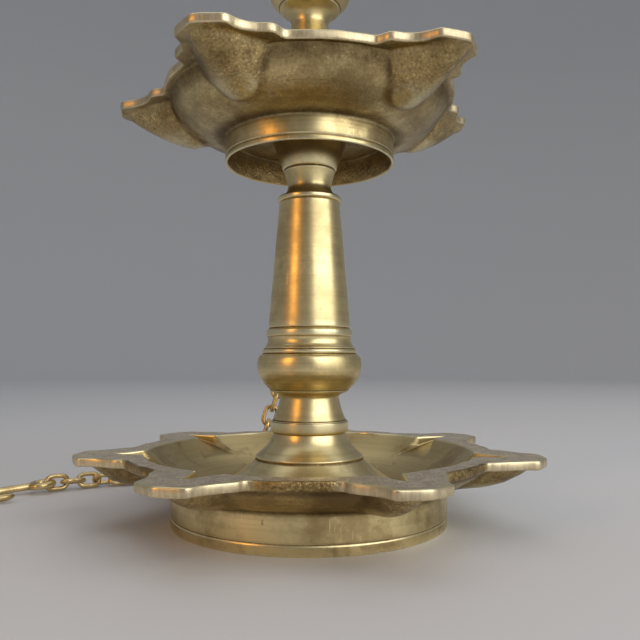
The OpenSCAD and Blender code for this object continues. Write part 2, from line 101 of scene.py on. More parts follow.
def lerp(a: np.ndarray, b: np.ndarray, share: float) -> np.ndarray:
    """Point or ring at a share of the way from a to b."""
    return a + (b - a) * share


def straight(start: tuple, end: tuple, steps: int) -> list[tuple]:
    """Points of a straight line, both ends among them."""
    return [tuple(lerp(np.array(start), np.array(end), k / steps)) for k in range(steps + 1)]


def full_turn(count: int) -> np.ndarray:
    """Even angles all the way round."""
    return np.linspace(0, 2 * math.pi, count, endpoint=False)


def unit(vectors: np.ndarray) -> np.ndarray:
    """Vectors, one a row, brought to length one."""
    return vectors / np.linalg.norm(vectors, axis=1)[:, None]


def ease(x: np.ndarray) -> np.ndarray:
    """Smooth step of values that are cut to 0 and 1."""
    x = np.clip(x, 0, 1)
    return x * x * (3 - 2 * x)


def wobble(points: np.ndarray, grain: float, seed: float) -> np.ndarray:
    """Smooth noise at points.

    Args:
        points: Array of positions, three columns.
        grain: Size of one lump.
        seed: Shift that makes each use differ.

    Returns:
        Array of noise vectors with values from about -1 to 1.
    """
    shift = Vector((seed, seed / 2, -seed))
    return np.array([noise.noise_vector(Vector(p) / grain + shift) for p in points])


@dataclass
class RingGrid:
    """A surface woven from rings with equal numbers of points, with masks at its vertices."""

    rings: list[np.ndarray] = field(default_factory=list)
    masks: dict[Mask, list[np.ndarray]] = field(default_factory=lambda: {m: [] for m in Mask})

    def add(self, points: np.ndarray, marks: dict[Mask, float | np.ndarray] | None = None) -> None:
        """Adds one ring.

        Args:
            points: Array of positions, three columns.
            marks: Mask values for the ring, one number or one per point.
        """
        self.rings.append(points)
        for mask in Mask:
            value = (marks or {}).get(mask, 0.0)
            self.masks[mask].append(np.broadcast_to(value, len(points)).astype(float))

    def faces(self, round_up: bool, caps: bool) -> list[tuple]:
        """Faces between the rings.

        Args:
            round_up: Whether the last ring is joined to the first.
            caps: Whether the first and last rings are closed with a flat face.

        Returns:
            Vertex numbers of each face.
        """
        count, wide = len(self.rings), len(self.rings[0])
        pairs = [(k, (k + 1) % count) for k in range(count if round_up else count - 1)]
        quads = [(a * wide + i, a * wide + (i + 1) % wide, b * wide + (i + 1) % wide, b * wide + i)
                 for a, b in pairs for i in range(wide)]
        if caps:
            quads += [tuple(reversed(range(wide))), tuple(range((count - 1) * wide, count * wide))]
        return quads

    def build(self, name: str, round_up: bool = False, caps: bool = False) -> bpy.types.Object:
        """Makes the mesh object.

        Args:
            name: Name of the piece.
            round_up: Whether the last ring is joined to the first.
            caps: Whether the ends are closed with flat faces.

        Returns:
            The object, linked to the scene.
        """
        made = mesh_object(name, np.concatenate(self.rings), self.faces(round_up, caps))
        for mask, values in self.masks.items():
            store_mask(made, mask, np.concatenate(values))
        return made


def mesh_object(name: str, points: np.ndarray, faces: list[tuple]) -> bpy.types.Object:
    """Makes a smooth shaded mesh object.

    Args:
        name: Name of the piece.
        points: Array of positions, three columns.
        faces: Vertex numbers of each face.

    Returns:
        The object, linked to the scene.
    """
    mesh = bpy.data.meshes.new(name)
    mesh.from_pydata(points.tolist(), [], faces)
    mesh.shade_smooth()
    made = bpy.data.objects.new(name, mesh)
    bpy.context.scene.collection.objects.link(made)
    return made


def store_mask(piece: bpy.types.Object, mask: Mask, values: np.ndarray) -> None:
    """Keeps a mask's values on a piece's vertices."""
    layer = piece.data.attributes.new(mask.value, "FLOAT", "POINT")
    layer.data.foreach_set("value", values.astype(np.float32))


def circle(radius: float, height: float, angles: np.ndarray) -> np.ndarray:
    """Points of a level circle round the axis at the given angles."""
    return level(np.column_stack([radius * np.cos(angles), radius * np.sin(angles)]), height)


def level(plan: np.ndarray, height: float) -> np.ndarray:
    """Plan positions, two columns, lifted to one height."""
    return np.column_stack([plan, np.full(len(plan), height)])


@dataclass(frozen=True)
class Spout:
    """Sizes of one spout, a flat plate with a keel below and a wick channel above."""

    tip_r: float
    shoulder_r: float
    shoulder_half: float
    nose_half: float
    nose_depth: float
    scoop: float
    keel_half: float
    keel_in_r: float
    keel_end_r: float
    keel_depth: float
    keel_fall: float
    keel_round: float
    keel_foot: float
    keel_power: float
    wick_l: float
    keel_back: float = 2.5
    keel_straight: float = 0.2
    keel_narrow: float = 0.7

    def keel(self, along: np.ndarray, across: np.ndarray) -> np.ndarray:
        """Depth of the keel under the plate.

        Args:
            along: Distances from the axis along the spout.
            across: Distances from the spout's middle line.

        Returns:
            Depths, zero beside the keel.
        """
        run = self.keel_end_r - self.keel_in_r
        share = np.clip((along - self.keel_in_r) / run, 0, 1)
        back = np.clip((self.keel_in_r - along) / run, 0, 1)
        fall = self.keel_fall * share + (1 - self.keel_fall) * share ** self.keel_power
        ridge = self.keel_depth * (1 - fall - self.keel_back * back ** 2)
        narrow = np.clip((share - self.keel_straight) / (1 - self.keel_straight), 0, 1)
        half = self.keel_half * (1 - self.keel_narrow * narrow)
        side = np.clip(1 - np.abs(across / half) ** self.keel_round, 0, None) ** self.keel_foot
        return np.clip(ridge, 0, None) * side


@dataclass
class CastBowl:
    """A cast bowl with a turned inside and foot ring, and spouts round its flat rim."""

    name: str
    node: str
    spouts: int
    first_deg: float
    spout: Spout
    foot_r: float
    foot_wall: float
    foot_lip: float
    foot_z: float
    foot_top_z: float
    line_z: float
    under_z: float
    floor_z: float
    floor_r: float
    rim_r: float
    rim_w: float
    rim_z: float
    overhang: float
    belly: tuple[float, float]
    lean_in: float
    gap_steps: int
    gap_cast: float
    chips_deg: tuple[float, ...]
    tip_more: tuple[float, ...]
    keel_share: tuple[float, ...]
    seed: float
    rim_t: float = 3 * MM
    tenon_r: float = 6 * MM
    line_w: float = 0.8 * MM
    line_depth: float = 0.4 * MM
    bevel: float = 0.55 * MM
    blend: float = 2.6 * MM
    # Share of cast skin on the wall and keels; the wall's lower share makes it paler, partly brushed metal and partly a
    # painted highlight.
    wall_raw: float = 0.55
    keel_raw: float = 0.85
    # Width and strength of painted shade in the creases beside the keels and under the rim.
    crease: float = 3 * MM
    crease_shade: float = 0.6
    under_rim_shade: float = 0.9
    keel_edge: float = 4 * MM
    # Strength of the paler keel undersides, wear and a painted highlight together.
    keel_rub_and_highlight: float = 0.65
    lump: float = 0.2 * MM
    lump_size: float = 5 * MM
    pit_size: float = 1.7 * MM
    file_depth: float = 0.34 * MM
    file_size: float = 7 * MM
    chip_size: float = 1.3 * MM
    chip_depth: float = 0.55 * MM
    nose_steps: int = 9
    side_steps: int = 13
    step_steps: int = 4
    wall_steps: int = 22
    plate_steps: int = 12
    curve_steps: int = 40
    rim_steps: int = 8
    channel_wall_steps: int = 4
    channel_floor_steps: int = 6
    hollow_steps: int = 16
    smooth_passes: int = 2
    halvings: int = 40
    settle_rounds: int = 30
    wick_half_angle: float = math.radians(23)
    wick_slope: float = math.radians(20)

    def __post_init__(self) -> None:
        """Works out the sizes that follow from the others."""
        self.now = self.spout
        self.plate_z = self.rim_z - self.rim_t
        self.rim_in_r = self.rim_r - self.rim_w
        self.wick_end = self.rim_in_r + self.spout.wick_l
        self.gap = math.pi / self.spouts
        wall_r = self.rim_r - self.overhang
        self.wall = np.array(drawn((self.foot_r + self.line_w, self.foot_top_z), self.belly,
                                   (wall_r, self.plate_z), self.curve_steps))
        lean = (self.rim_in_r - self.lean_in, self.floor_z + self.line_depth)
        self.hollow = np.array(drawn((self.rim_in_r, self.rim_z), lean, (self.floor_r, self.floor_z),
                                     self.curve_steps))

    def spout_at(self, number: int) -> Spout:
        """Sizes of one of the spouts, which differ a little.

        Args:
            number: Which spout.

        Returns:
            Its sizes.
        """
        more = self.tip_more[number]
        return replace(self.spout, tip_r=self.spout.tip_r + more, keel_end_r=self.spout.keel_end_r + more,
                       keel_depth=self.spout.keel_depth * self.keel_share[number])

    def half_outline(self) -> np.ndarray:
        """Outline of half a spout and half the plain rim beside it.

        Returns:
            Positions from the tip round to the gap's middle, two columns.
        """
        s = self.now
        corner = (s.tip_r - s.nose_depth, s.nose_half)
        shoulder = (math.sqrt(s.shoulder_r ** 2 - s.shoulder_half ** 2), s.shoulder_half)
        bend = (shoulder[0] + (corner[0] - shoulder[0]) * s.scoop, corner[1])
        root_y = s.shoulder_half + self.line_depth
        root = (math.sqrt(self.rim_r ** 2 - root_y ** 2), root_y)
        nose = straight((s.tip_r, 0.0), corner, self.nose_steps)[:-1]
        side = drawn(corner, bend, shoulder, self.side_steps)[:-1]
        step = straight(shoulder, root, self.step_steps)[:-1]
        turns = np.linspace(math.atan2(root[1], root[0]), self.gap, self.gap_steps + 1)
        return np.array([*nose, *side, *step, *circle(self.rim_r, 0, turns)[:, :2]])

    def lobe(self) -> None:
        """Lays out the columns of one spout, from gap to gap, in the spout's own frame."""
        half = self.half_outline()
        last = len(half) - 1
        self.steps = np.arange(-last, last)
        near = half[np.abs(self.steps)]
        line = np.column_stack([near[:, 0], np.where(self.steps < 0, -1, 1) * near[:, 1]])
        self.outer_angle = np.arctan2(line[:, 1], line[:, 0])
        for _ in range(self.smooth_passes):
            line[1:-1] = (line[:-2] + 2 * line[1:-1] + line[2:]) / 4
        self.outline = line
        along = np.gradient(line, axis=0)
        self.outward = unit(np.column_stack([along[:, 1], -along[:, 0]]))
        self.lay_opening()

    def channel_z(self, along: np.ndarray) -> np.ndarray:
        """Height of a wick channel's floor at a distance along the spout."""
        return self.rim_z - (self.wick_end - along) * math.tan(self.wick_slope)

    def hollow_z(self, radius: np.ndarray) -> np.ndarray:
        """Height of the bowl's inside at a radius."""
        return np.interp(radius, self.hollow[::-1, 0], self.hollow[::-1, 1])

    def channel_foot(self, angle: float) -> float:
        """Finds where a wick channel's floor runs into the bowl's inside.

        Args:
            angle: Angle from the spout's middle line.

        Returns:
            Radius of that place.
        """
        low, high = self.floor_r, self.rim_in_r
        for _ in range(self.halvings):
            middle = (low + high) / 2
            above = self.hollow_z(middle) > self.channel_z(middle * math.cos(angle))
            low, high = (low, middle) if above else (middle, high)
        return low

    def lay_opening(self) -> None:
        """Works out the edge of the bowl's opening, with a notch where each wick channel starts."""
        mouth = foot = 0.0
        for _ in range(self.settle_rounds):
            x = self.rim_in_r * math.cos(mouth)
            mouth = math.asin((self.wick_end - x) * math.tan(self.wick_half_angle) / self.rim_in_r)
            x = self.channel_foot(foot) * math.cos(foot)
            foot = math.atan2((self.wick_end - x) * math.tan(self.wick_half_angle), x)
        self.foot_angle = foot
        size = np.abs(self.steps)
        sign = np.where(self.steps < 0, -1.0, 1.0)
        self.in_notch = size < self.nose_steps
        notch = np.clip(size / self.nose_steps, 0, 1)
        corner = abs(self.outer_angle[size == self.nose_steps][0])
        round_on = np.clip((np.abs(self.outer_angle) - corner) / (self.gap - corner), 0, 1)
        top = np.where(self.in_notch, notch * mouth, mouth + (self.gap - mouth) * round_on) * sign
        self.inner_angle = np.where(self.in_notch, notch * foot, foot + (self.gap - foot) * round_on) * sign
        tip = np.array((self.wick_end, 0.0))
        edge = circle(self.rim_in_r, 0, top)[:, :2]
        corner_point = np.array((self.rim_in_r * math.cos(mouth), self.rim_in_r * math.sin(mouth)))
        cut = tip + (corner_point - tip) * notch[:, None]
        cut[:, 1] *= sign
        self.edge_angle = top
        self.edge = np.where(self.in_notch[:, None], cut, edge)
        along = np.gradient(self.edge, axis=0)
        self.edge_inward = unit(np.column_stack([-along[:, 1], along[:, 0]]))

    def depths(self, plan: np.ndarray) -> tuple[np.ndarray, np.ndarray]:
        """Depths of the bowl's wall and of the keel below the plate.

        Args:
            plan: Array of positions in the spout's frame, two columns.

        Returns:
            Depths of the wall, and depths of the keel.
        """
        radius = np.hypot(plan[:, 0], plan[:, 1])
        wall = self.plate_z - np.interp(radius, self.wall[:, 0], self.wall[:, 1])
        return wall, self.now.keel(plan[:, 0], plan[:, 1])

    def under(self, plan: np.ndarray) -> np.ndarray:
        """Height of the cast underside over plan positions in the spout's frame.

        Args:
            plan: Array of positions, two columns.

        Returns:
            Heights, at most that of the plate's underside.
        """
        wall, keel = self.depths(plan)
        keel = np.minimum(keel, self.plate_z - self.foot_top_z)
        soft = np.maximum(np.minimum(self.blend, np.minimum(wall, keel)), 1e-9)
        near = np.clip(soft - np.abs(wall - keel), 0, None) / soft
        return self.plate_z - np.maximum(wall, keel) - near ** 2 * soft / 4

    def skin(self, plan: np.ndarray, share: float) -> dict[Mask, np.ndarray]:
        """Masks of the cast underside: raw keels with paler, worn undersides that are also a painted highlight, a paler
        wall that is partly brushed and partly a painted highlight, and painted shade near the foot, in the creases and
        under the rim.

        Args:
            plan: Array of positions, two columns.
            share: How far up the wall the positions lie, from 0 to 1.

        Returns:
            The masks.
        """
        wall, keel = self.depths(plan)
        on_keel = ease((keel - wall) / self.keel_edge + 0.3)
        crease = np.exp(-((keel - wall) / self.crease) ** 2) * ease(keel / self.crease)
        # Less cast skin on the wall: partly brushed metal, partly a painted highlight.
        raw = lerp(self.wall_raw, self.keel_raw, on_keel) * ease(share * 8)
        # Painted shade: darker near the foot, in the creases beside the keels and under the rim.
        dirt = np.maximum(1 - ease(share * 4), self.crease_shade * crease)
        dirt = dirt + self.under_rim_shade * ease((share - 0.6) * 3) * (1 - on_keel)
        # Paler, smoother keel undersides: wear and a painted highlight together.
        rubbed_and_highlit = self.keel_rub_and_highlight * on_keel * ease((keel / self.now.keel_depth - 0.25) / 0.6)
        return {Mask.CAST: raw, Mask.GRIME: np.clip(dirt, 0, 1), Mask.WORN: rubbed_and_highlit}

    def foot_rings(self, grid: RingGrid) -> None:
        """Adds the turned outside of the foot ring, from its bottom edge up.

        Args:
            grid: Rings of the spout, which grow.
        """
        soft = self.bevel / 2
        line = self.line_z
        # Radius, height and wear of each ring
        profile = [(self.foot_r - soft, self.foot_z, 1), (self.foot_r - soft / 4, self.foot_z + soft / 4, 1),
                   (self.foot_r, self.foot_z + soft, 0.7), (self.foot_r, line - self.line_w, 0.2),
                   (self.foot_r, line - self.line_w / 2, 0.8), (self.foot_r - self.line_depth, line, 0),
                   (self.foot_r, line + self.line_w / 2, 0.8), (self.foot_r, line + self.line_w, 0.2)]
        for r, z, worn in profile:
            dirt = 1.0 if r == self.foot_r - self.line_depth else 0.0
            grid.add(circle(r, z, self.outer_angle), {Mask.WORN: worn, Mask.GRIME: dirt})
        # Darker towards the top of the foot ring: painted shade where it meets the bowl's wall.
        for share in (0.3, 0.6, 0.85, 0.97):
            height = lerp(line + self.line_w, self.foot_top_z, share)
            grid.add(circle(self.foot_r, height, self.outer_angle), {Mask.GRIME: ease((share - 0.6) * 2)})

    def underside_rings(self, grid: RingGrid) -> None:
        """Adds the cast underside, from the foot ring out to the plate's lower edge.

        Args:
            grid: Rings of the spout, which grow.
        """
        path = self.wall
        run = np.concatenate([[0], np.cumsum(np.hypot(*np.diff(path, axis=0).T))])
        for share in np.linspace(0, 1, self.wall_steps):
            radius = np.interp(share * run[-1], run, path[:, 0])
            ring = circle(radius, 0, self.outer_angle)
            ring[:, 2] = self.under(ring[:, :2])
            grid.add(ring, self.skin(ring[:, :2], share))
        inner = ring[:, :2]
        outer = self.outline - self.outward * self.bevel
        for share in np.linspace(0, 1, self.plate_steps + 1)[1:]:
            plan = lerp(inner, outer, share)
            marks = self.skin(plan, 1.0)
            # Painted shade under the plate, fading towards its edge.
            marks[Mask.GRIME] = marks[Mask.GRIME] * (1 - 0.6 * share)
            grid.add(np.column_stack([plan, self.under(plan)]), marks)

    def edge_rings(self, grid: RingGrid) -> None:
        """Adds the plate's filed edge, from its lower to its upper bevel.

        Args:
            grid: Rings of the spout, which grow.
        """
        b = self.bevel
        # How far back and up from the lower edge each ring lies, and its wear
        steps = [(b * 0.3, b * 0.3, 0.5), (0, b, 0.25), (0, self.rim_t / 2, 0.2), (0, self.rim_t - b, 0.5),
                 (b * 0.3, self.rim_t - b * 0.3, 1.0), (b, self.rim_t, 1.0)]
        filed = self.nose_steps + self.side_steps + self.step_steps
        cast = ease((np.abs(self.steps) - filed + 1) / 3) * self.gap_cast
        for back, up, worn in steps:
            plan = self.outline - self.outward * back
            grid.add(level(plan, self.plate_z + up), {Mask.WORN: worn * (1 - 0.7 * cast), Mask.RIM: 0.5,
                                                      Mask.CAST: cast, Mask.GRIME: cast * 0.4})

    def rim_rings(self, grid: RingGrid) -> None:
        """Adds the flat top of the rim and its inner edge.

        Args:
            grid: Rings of the spout, which grow.
        """
        outer = self.outline - self.outward * self.bevel
        b = self.bevel * 0.7
        inner = self.edge - self.edge_inward * b
        for share in np.linspace(0, 1, self.rim_steps + 1)[1:]:
            plan = lerp(outer, inner, share)
            worn = ease(1 - share * 6) + ease(share * 6 - 5)
            grid.add(level(plan, self.rim_z), {Mask.RIM: 1.0, Mask.WORN: worn})
        plan = self.edge - self.edge_inward * b * 0.3
        grid.add(level(plan, self.rim_z - b * 0.3), {Mask.RIM: 0.5, Mask.WORN: 1.0})

    def inside_rings(self, grid: RingGrid) -> None:
        """Adds the wick channels and the turned inside, down to the hole for the stem's tenon.

        Args:
            grid: Rings of the spout, which grow.
        """
        b = self.bevel * 0.7
        foot_r = self.channel_foot(self.foot_angle)
        down = np.array([self.channel_foot(a) for a in self.inner_angle])
        wall_count, floor_count = self.channel_wall_steps, self.channel_floor_steps
        count = wall_count + floor_count
        base_z = np.minimum(self.channel_z(self.edge[:, 0]), self.rim_z - b * 1.2)
        floor_end = circle(down, 0, self.inner_angle)[:, :2]
        for k in range(count + 1):
            share = k / count
            radius = lerp(self.rim_in_r, foot_r, share)
            angle = lerp(self.edge_angle, self.inner_angle, share)
            plain = circle(radius, self.hollow_z(radius) - (b if k == 0 else 0), angle)
            if k <= wall_count:
                height = lerp(self.rim_z - b, base_z, k / wall_count)
                notch = np.column_stack([self.edge, height])
            else:
                way = (k - wall_count) / floor_count
                plan = lerp(self.edge, floor_end, way)
                notch = np.column_stack([plan, np.minimum(self.channel_z(plan[:, 0]), base_z)])
            ring = np.where(self.in_notch[:, None], notch, plain)
            dirt = np.where(self.in_notch, 0.6 if k >= wall_count - 1 else 0.2, 0.0)
            grid.add(ring, {Mask.WORN: 0.8 if k == 0 else 0.0, Mask.GRIME: dirt, Mask.DULL: 0.6})
        for share in np.linspace(0, 1, self.hollow_steps + 1)[1:]:
            radius = lerp(foot_r, self.floor_r, share)
            ring = circle(radius, self.hollow_z(radius), self.inner_angle)
            grid.add(ring, {Mask.GRIME: 0.4 * share, Mask.DULL: 0.6 + 0.3 * share})

    def floor_rings(self, grid: RingGrid) -> None:
        """Adds the floor round the stem, the hole in it and the hollow of the foot ring.

        Args:
            grid: Rings of the spout, which grow.
        """
        foot_in = self.foot_r - self.foot_wall
        soft = self.bevel
        inner, outer = self.inner_angle, self.outer_angle
        for radius in (lerp(self.floor_r, self.tenon_r, 0.3), lerp(self.floor_r, self.tenon_r, 0.7), self.tenon_r):
            grid.add(circle(radius, self.floor_z, inner), {Mask.GRIME: 0.8, Mask.DULL: 1.0})
        for share in (0.0, 0.35, 0.7, 0.95):
            radius = lerp(self.tenon_r, foot_in, share)
            grid.add(circle(radius, self.under_z, lerp(inner, outer, share)), {Mask.CAST: 0.6, Mask.GRIME: 0.7})
        corner = [(foot_in - soft * 0.4, self.under_z - soft * 0.1), (foot_in, self.under_z - soft)]
        for radius, height in corner:
            grid.add(circle(radius, height, outer), {Mask.CAST: 0.5, Mask.GRIME: 0.9})
        lip_in = self.foot_r - self.foot_lip
        for share in (0.25, 0.5, 0.75, 1.0):
            height = lerp(self.under_z - soft, self.foot_z + soft, share)
            radius = lerp(foot_in, lip_in, share ** 2)
            grid.add(circle(radius, height, outer), {Mask.CAST: 0.8, Mask.GRIME: 0.5 - 0.3 * share, Mask.DULL: 1.0})
        grid.add(circle(lip_in + soft * 0.2, self.foot_z + soft * 0.2, outer), {Mask.WORN: 0.3, Mask.DULL: 0.5})
        grid.add(circle(lip_in + soft * 0.4, self.foot_z, outer), {Mask.WORN: 0.3})

    def rough_up(self, grid: RingGrid) -> None:
        """Gives the cast skin its lumps and the filed edge its unevenness.

        Args:
            grid: Rings of the whole bowl, which are moved.
        """
        for k, ring in enumerate(grid.rings):
            cast = grid.masks[Mask.CAST][k]
            rim = grid.masks[Mask.RIM][k]
            if cast.max() > 0:
                ring += wobble(ring, self.lump_size, self.seed) * (cast * self.lump)[:, None]
                ring += wobble(ring, self.pit_size, self.seed + 9) * (cast * self.lump / 2)[:, None]
            if rim.max() > 0:
                shift = wobble(level(ring[:, :2], 0), self.file_size, self.seed + 20) * self.file_depth
                shift[:, 2] *= 0.5
                ring += shift * np.minimum(rim * 2, 1)[:, None]

    def chip(self, grid: RingGrid) -> None:
        """Knocks small chips out of the foot's lower edge.

        Args:
            grid: Rings of the whole bowl, which are moved.
        """
        for ring in grid.rings[:3]:
            for angle in self.chips_deg:
                turn = math.radians(angle - 90)
                spot = np.array((self.foot_r * math.cos(turn), self.foot_r * math.sin(turn)))
                near = ease(1 - np.linalg.norm(ring[:, :2] - spot, axis=1) / self.chip_size)
                ring[:, :2] *= (1 - near * self.chip_depth / self.foot_r)[:, None]
                ring[:, 2] += near * self.chip_depth / 3

    def lobe_grid(self, number: int) -> RingGrid:
        """Builds one spout with its share of the bowl, turned to its place.

        Args:
            number: Which spout.

        Returns:
            Its rings.
        """
        self.now = self.spout_at(number)
        self.lobe()
        grid = RingGrid()
        for part in (self.foot_rings, self.underside_rings, self.edge_rings, self.rim_rings,
                     self.inside_rings, self.floor_rings):
            part(grid)
        turn = math.radians(self.first_deg - 90 + number * 360 / self.spouts)
        spin = np.array(Matrix.Rotation(turn, 3, "Z")).T
        grid.rings = [ring @ spin for ring in grid.rings]
        return grid

    def build(self, material: bpy.types.Material) -> bpy.types.Object:
        """Builds the bowl and dresses it.

        Args:
            material: Brass of the casting.

        Returns:
            The bowl.
        """
        lobes = [self.lobe_grid(number) for number in range(self.spouts)]
        whole = RingGrid()
        for k in range(len(lobes[0].rings)):
            marks = {m: np.concatenate([lobe.masks[m][k] for lobe in lobes]) for m in Mask}
            whole.add(np.concatenate([lobe.rings[k] for lobe in lobes]), marks)
        self.rough_up(whole)
        self.chip(whole)
        bowl = whole.build(self.name, round_up=True)
        return dress(bowl, material, "lamp", [self.node])


def dress(piece: bpy.types.Object, material: bpy.types.Material, body: str,
          nodes: list[str]) -> bpy.types.Object:
    """Gives a piece its material, body, slot and the solids that it stands for.

    Args:
        piece: The piece.
        material: Its material.
        body: Body that it moves with.
        nodes: Solids that it stands for.

    Returns:
        The piece.
    """
    piece.data.materials.append(material)
    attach(piece, body)
    if nodes:
        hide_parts(*nodes)
    log.info("%s on %s: %d vertices", piece.name, body, len(piece.data.vertices))
    return piece


@dataclass
class Turning:
    """A piece turned on the lathe, given by its outline of radii and heights."""

    name: str
    node: str
    outline: list[tuple[float, float]]
    soft: float = 0.28 * MM
    soft_share: float = 0.42
    smooth_deg: float = 14
    sharp_deg: float = 60
    segments: int = 144

    def softened(self) -> list[tuple[float, float, float]]:
        """Outline with its sharp corners rounded.

        Returns:
            Radius, height and bend of each point, where an outer corner bends by more than zero.
        """
        line = [np.array(p) for p in self.outline]
        made = [(*line[0], 0.0)]
        for before, here, after in zip(line, line[1:], line[2:]):
            a, b = here - before, after - here
            la, lb = np.linalg.norm(a), np.linalg.norm(b)
            bend = math.atan2(a[0] * b[1] - a[1] * b[0], a @ b)
            if abs(bend) < math.radians(self.smooth_deg):
                made.append((*here, 0.0))
                continue
            back, on = min(self.soft, la * self.soft_share), min(self.soft, lb * self.soft_share)
            sign = max(-1.0, min(1.0, bend / math.radians(self.sharp_deg)))
            arc = drawn(here - a / la * back, here, here + b / lb * on, 3)
            made += [(*p, sign) for p in arc]
        made.append((*line[-1], 0.0))
        return made

    def build(self, material: bpy.types.Material) -> bpy.types.Object:
        """Builds the turning and dresses it.

        Args:
            material: Its brass.

        Returns:
            The turning.
        """
        angles = full_turn(self.segments)
        grid = RingGrid()
        for radius, height, bend in self.softened():
            grid.add(circle(radius, height, angles), {Mask.WORN: max(bend, 0), Mask.GRIME: max(-bend, 0)})
        piece = grid.build(self.name, caps=True)
        return dress(piece, material, "lamp", [self.node])


@dataclass
class Stem:
    """The turned stem, from the flared foot up to the top of the upper column."""

    floor_z: float = 12.5 * MM
    under_z: float = 8.5 * MM
    foot_seam_z: float = 31.8 * MM
    column_seam_z: float = 117.3 * MM
    up_under_z: float = 141.2 * MM
    up_floor_z: float = 145.2 * MM
    stem_seam_z: float = 176.5 * MM
    finial_z: float = 238 * MM
    flare_r: float = 31 * MM
    step_r: float = 20 * MM
    step_h: float = 9.8 * MM
    flare_top_r: float = 13.4 * MM
    tenon_r: float = 5.9 * MM
    tenon_end_z: float = 3 * MM
    ring_r: float = 14.4 * MM
    ring_h: float = 4.2 * MM
    neck_r: float = 10.9 * MM
    neck_z: float = 12.6 * MM
    cup_r: float = 14.2 * MM
    cup_z: float = 15 * MM
    knop_r: float = 19.4 * MM
    knop_z: float = 24 * MM
    knop_top_r: float = 18 * MM
    knop_top_z: float = 28.3 * MM
    bead_r: float = 16.1 * MM
    bead_z: float = 35.3 * MM
    bead_h: float = 2 * MM
    column_top_r: float = 11.4 * MM
    spool_collar_r: float = 12 * MM
    spool_collar_h: float = 2 * MM
    spool_neck_r: float = 8.2 * MM
    spool_neck_h: float = 6.2 * MM
    spool_line_h: float = 12.3 * MM
    spool_line_r: float = 10.2 * MM
    spool_seat_r: float = 14.2 * MM
    up_flare_r: float = 22 * MM
    up_flare_line_h: float = 16.4 * MM
    up_ratio: float = 0.755
    up_neck_r: float = 7 * MM
    up_neck_z: float = 9.5 * MM
    up_cup_r: float = 11.2 * MM
    up_cup_z: float = 15.7 * MM
    up_knop_r: float = 15.6 * MM
    up_knop_z: float = 22.1 * MM
    up_knop_top_r: float = 13.6 * MM
    up_knop_top_z: float = 25.5 * MM
    up_top_r: float = 8.4 * MM
    finial_waist_r: float = 4.7 * MM
    bud_r: float = 7.5 * MM
    bud_z: float = 7.4 * MM
    bud_gap: float = 4.4 * MM
    eye_z: float = 254 * MM
    eye_r: float = 6.2 * MM
    eye_t: float = 6 * MM
    eye_hole_r: float = 2.26 * MM
    band_h: float = 0.9 * MM
    cove_r: float = 1.1 * MM
    cut: float = 0.4 * MM
    line_w: float = 0.8 * MM
    lap: float = 1 * MM
    taper_steps: int = 12
    eye_segments: int = 72

    def raised(self, points: list[tuple], height: float) -> list[tuple]:
        """Outline points lifted to a height."""
        return [(r, height + z) for r, z in points]

    def flared_foot(self) -> list[tuple]:
        """Outline of the flared foot with its tenon.

        Returns:
            Radii and heights.
        """
        c, w, z0, z1 = self.cut, self.line_w, self.floor_z, self.foot_seam_z
        step_z = z0 + self.step_h
        middle = ((self.flare_r + self.step_r) / 2 - self.lap, (z0 + step_z) / 2)
        return [(self.tenon_r, self.tenon_end_z), (self.tenon_r, z0), (self.flare_r, z0), (self.flare_r, z0 + w),
                *drawn((self.flare_r - w, z0 + 2 * w), middle, (self.step_r + c, step_z - w), 14),
                (self.step_r - c, step_z),
                *drawn((self.step_r, step_z + w), (self.flare_top_r + self.lap, (step_z + z1) / 2),
                       (self.flare_top_r, z1 - c), 14),
                (self.flare_top_r - c, z1)]

    def turnings(self, size: float, neck: tuple, cup: tuple, knop: tuple, top: tuple) -> list[tuple]:
        """Outline from the bottom seam of a column up: ring, neck, knop, band and bead.

        Args:
            size: Size of the ring, band and bead.
            neck: Radius and height of the narrowest place.
            cup: Radius and height of the knop's underside.
            knop: Radius and height of the knop's widest place.
            top: Radius and height of the knop's top.

        Returns:
            Radii and heights above the seam.
        """
        c, w = self.cut, self.line_w
        ring, ring_z, bead = size * self.ring_r, size * self.ring_h, size * self.bead_r
        low = top[1] + size * (self.bead_z - self.knop_top_z)
        high = low + size * self.bead_h
        band = size * self.band_h
        cove = top[1] + w + band + c
        return [(ring - c, 0), (ring, c), (ring, ring_z - c), (ring - c, ring_z - c), (ring - c, ring_z),
                *drawn((ring - w, ring_z), (neck[0] + w, lerp(ring_z, neck[1], 0.45)), neck, 10),
                *drawn(neck, (neck[0] + c / 2, lerp(neck[1], cup[1], 0.6)), (cup[0], cup[1] - c), 8)[1:],
                (cup[0] + c, cup[1]),
                *drawn((cup[0] + c, cup[1] + c), (knop[0], (cup[1] + knop[1]) / 2), knop, 14),
                *drawn(knop, (knop[0], top[1] - c), top, 8)[1:],
                (top[0] - w, top[1] + c), (top[0] - c, top[1] + w), (top[0] - c, top[1] + w + band),
                (top[0] - w - c, cove),
                *drawn((top[0] - w, cove + c), (bead - size * self.cove_r, lerp(cove, low, 0.4)),
                       (bead - c, low - c), 10),
                (bead, low), (bead, high), (bead - w, high + c), (bead - w - c, high + w), (bead - w, high + w + c)]

    def column(self, bottom: float, top: float, top_r: float, turnings: list[tuple]) -> list[tuple]:
        """Outline of a column between two seams.

        Args:
            bottom: Height of the lower seam.
            top: Height of the upper seam.
            top_r: Radius at the top.
            turnings: Outline of the turnings at its bottom.

        Returns:
            Radii and heights.
        """
        body = self.raised(turnings, bottom)
        taper = straight(body[-1], (top_r, top - self.cut), self.taper_steps)[1:]
        return [*body, *taper, (top_r - self.cut, top)]

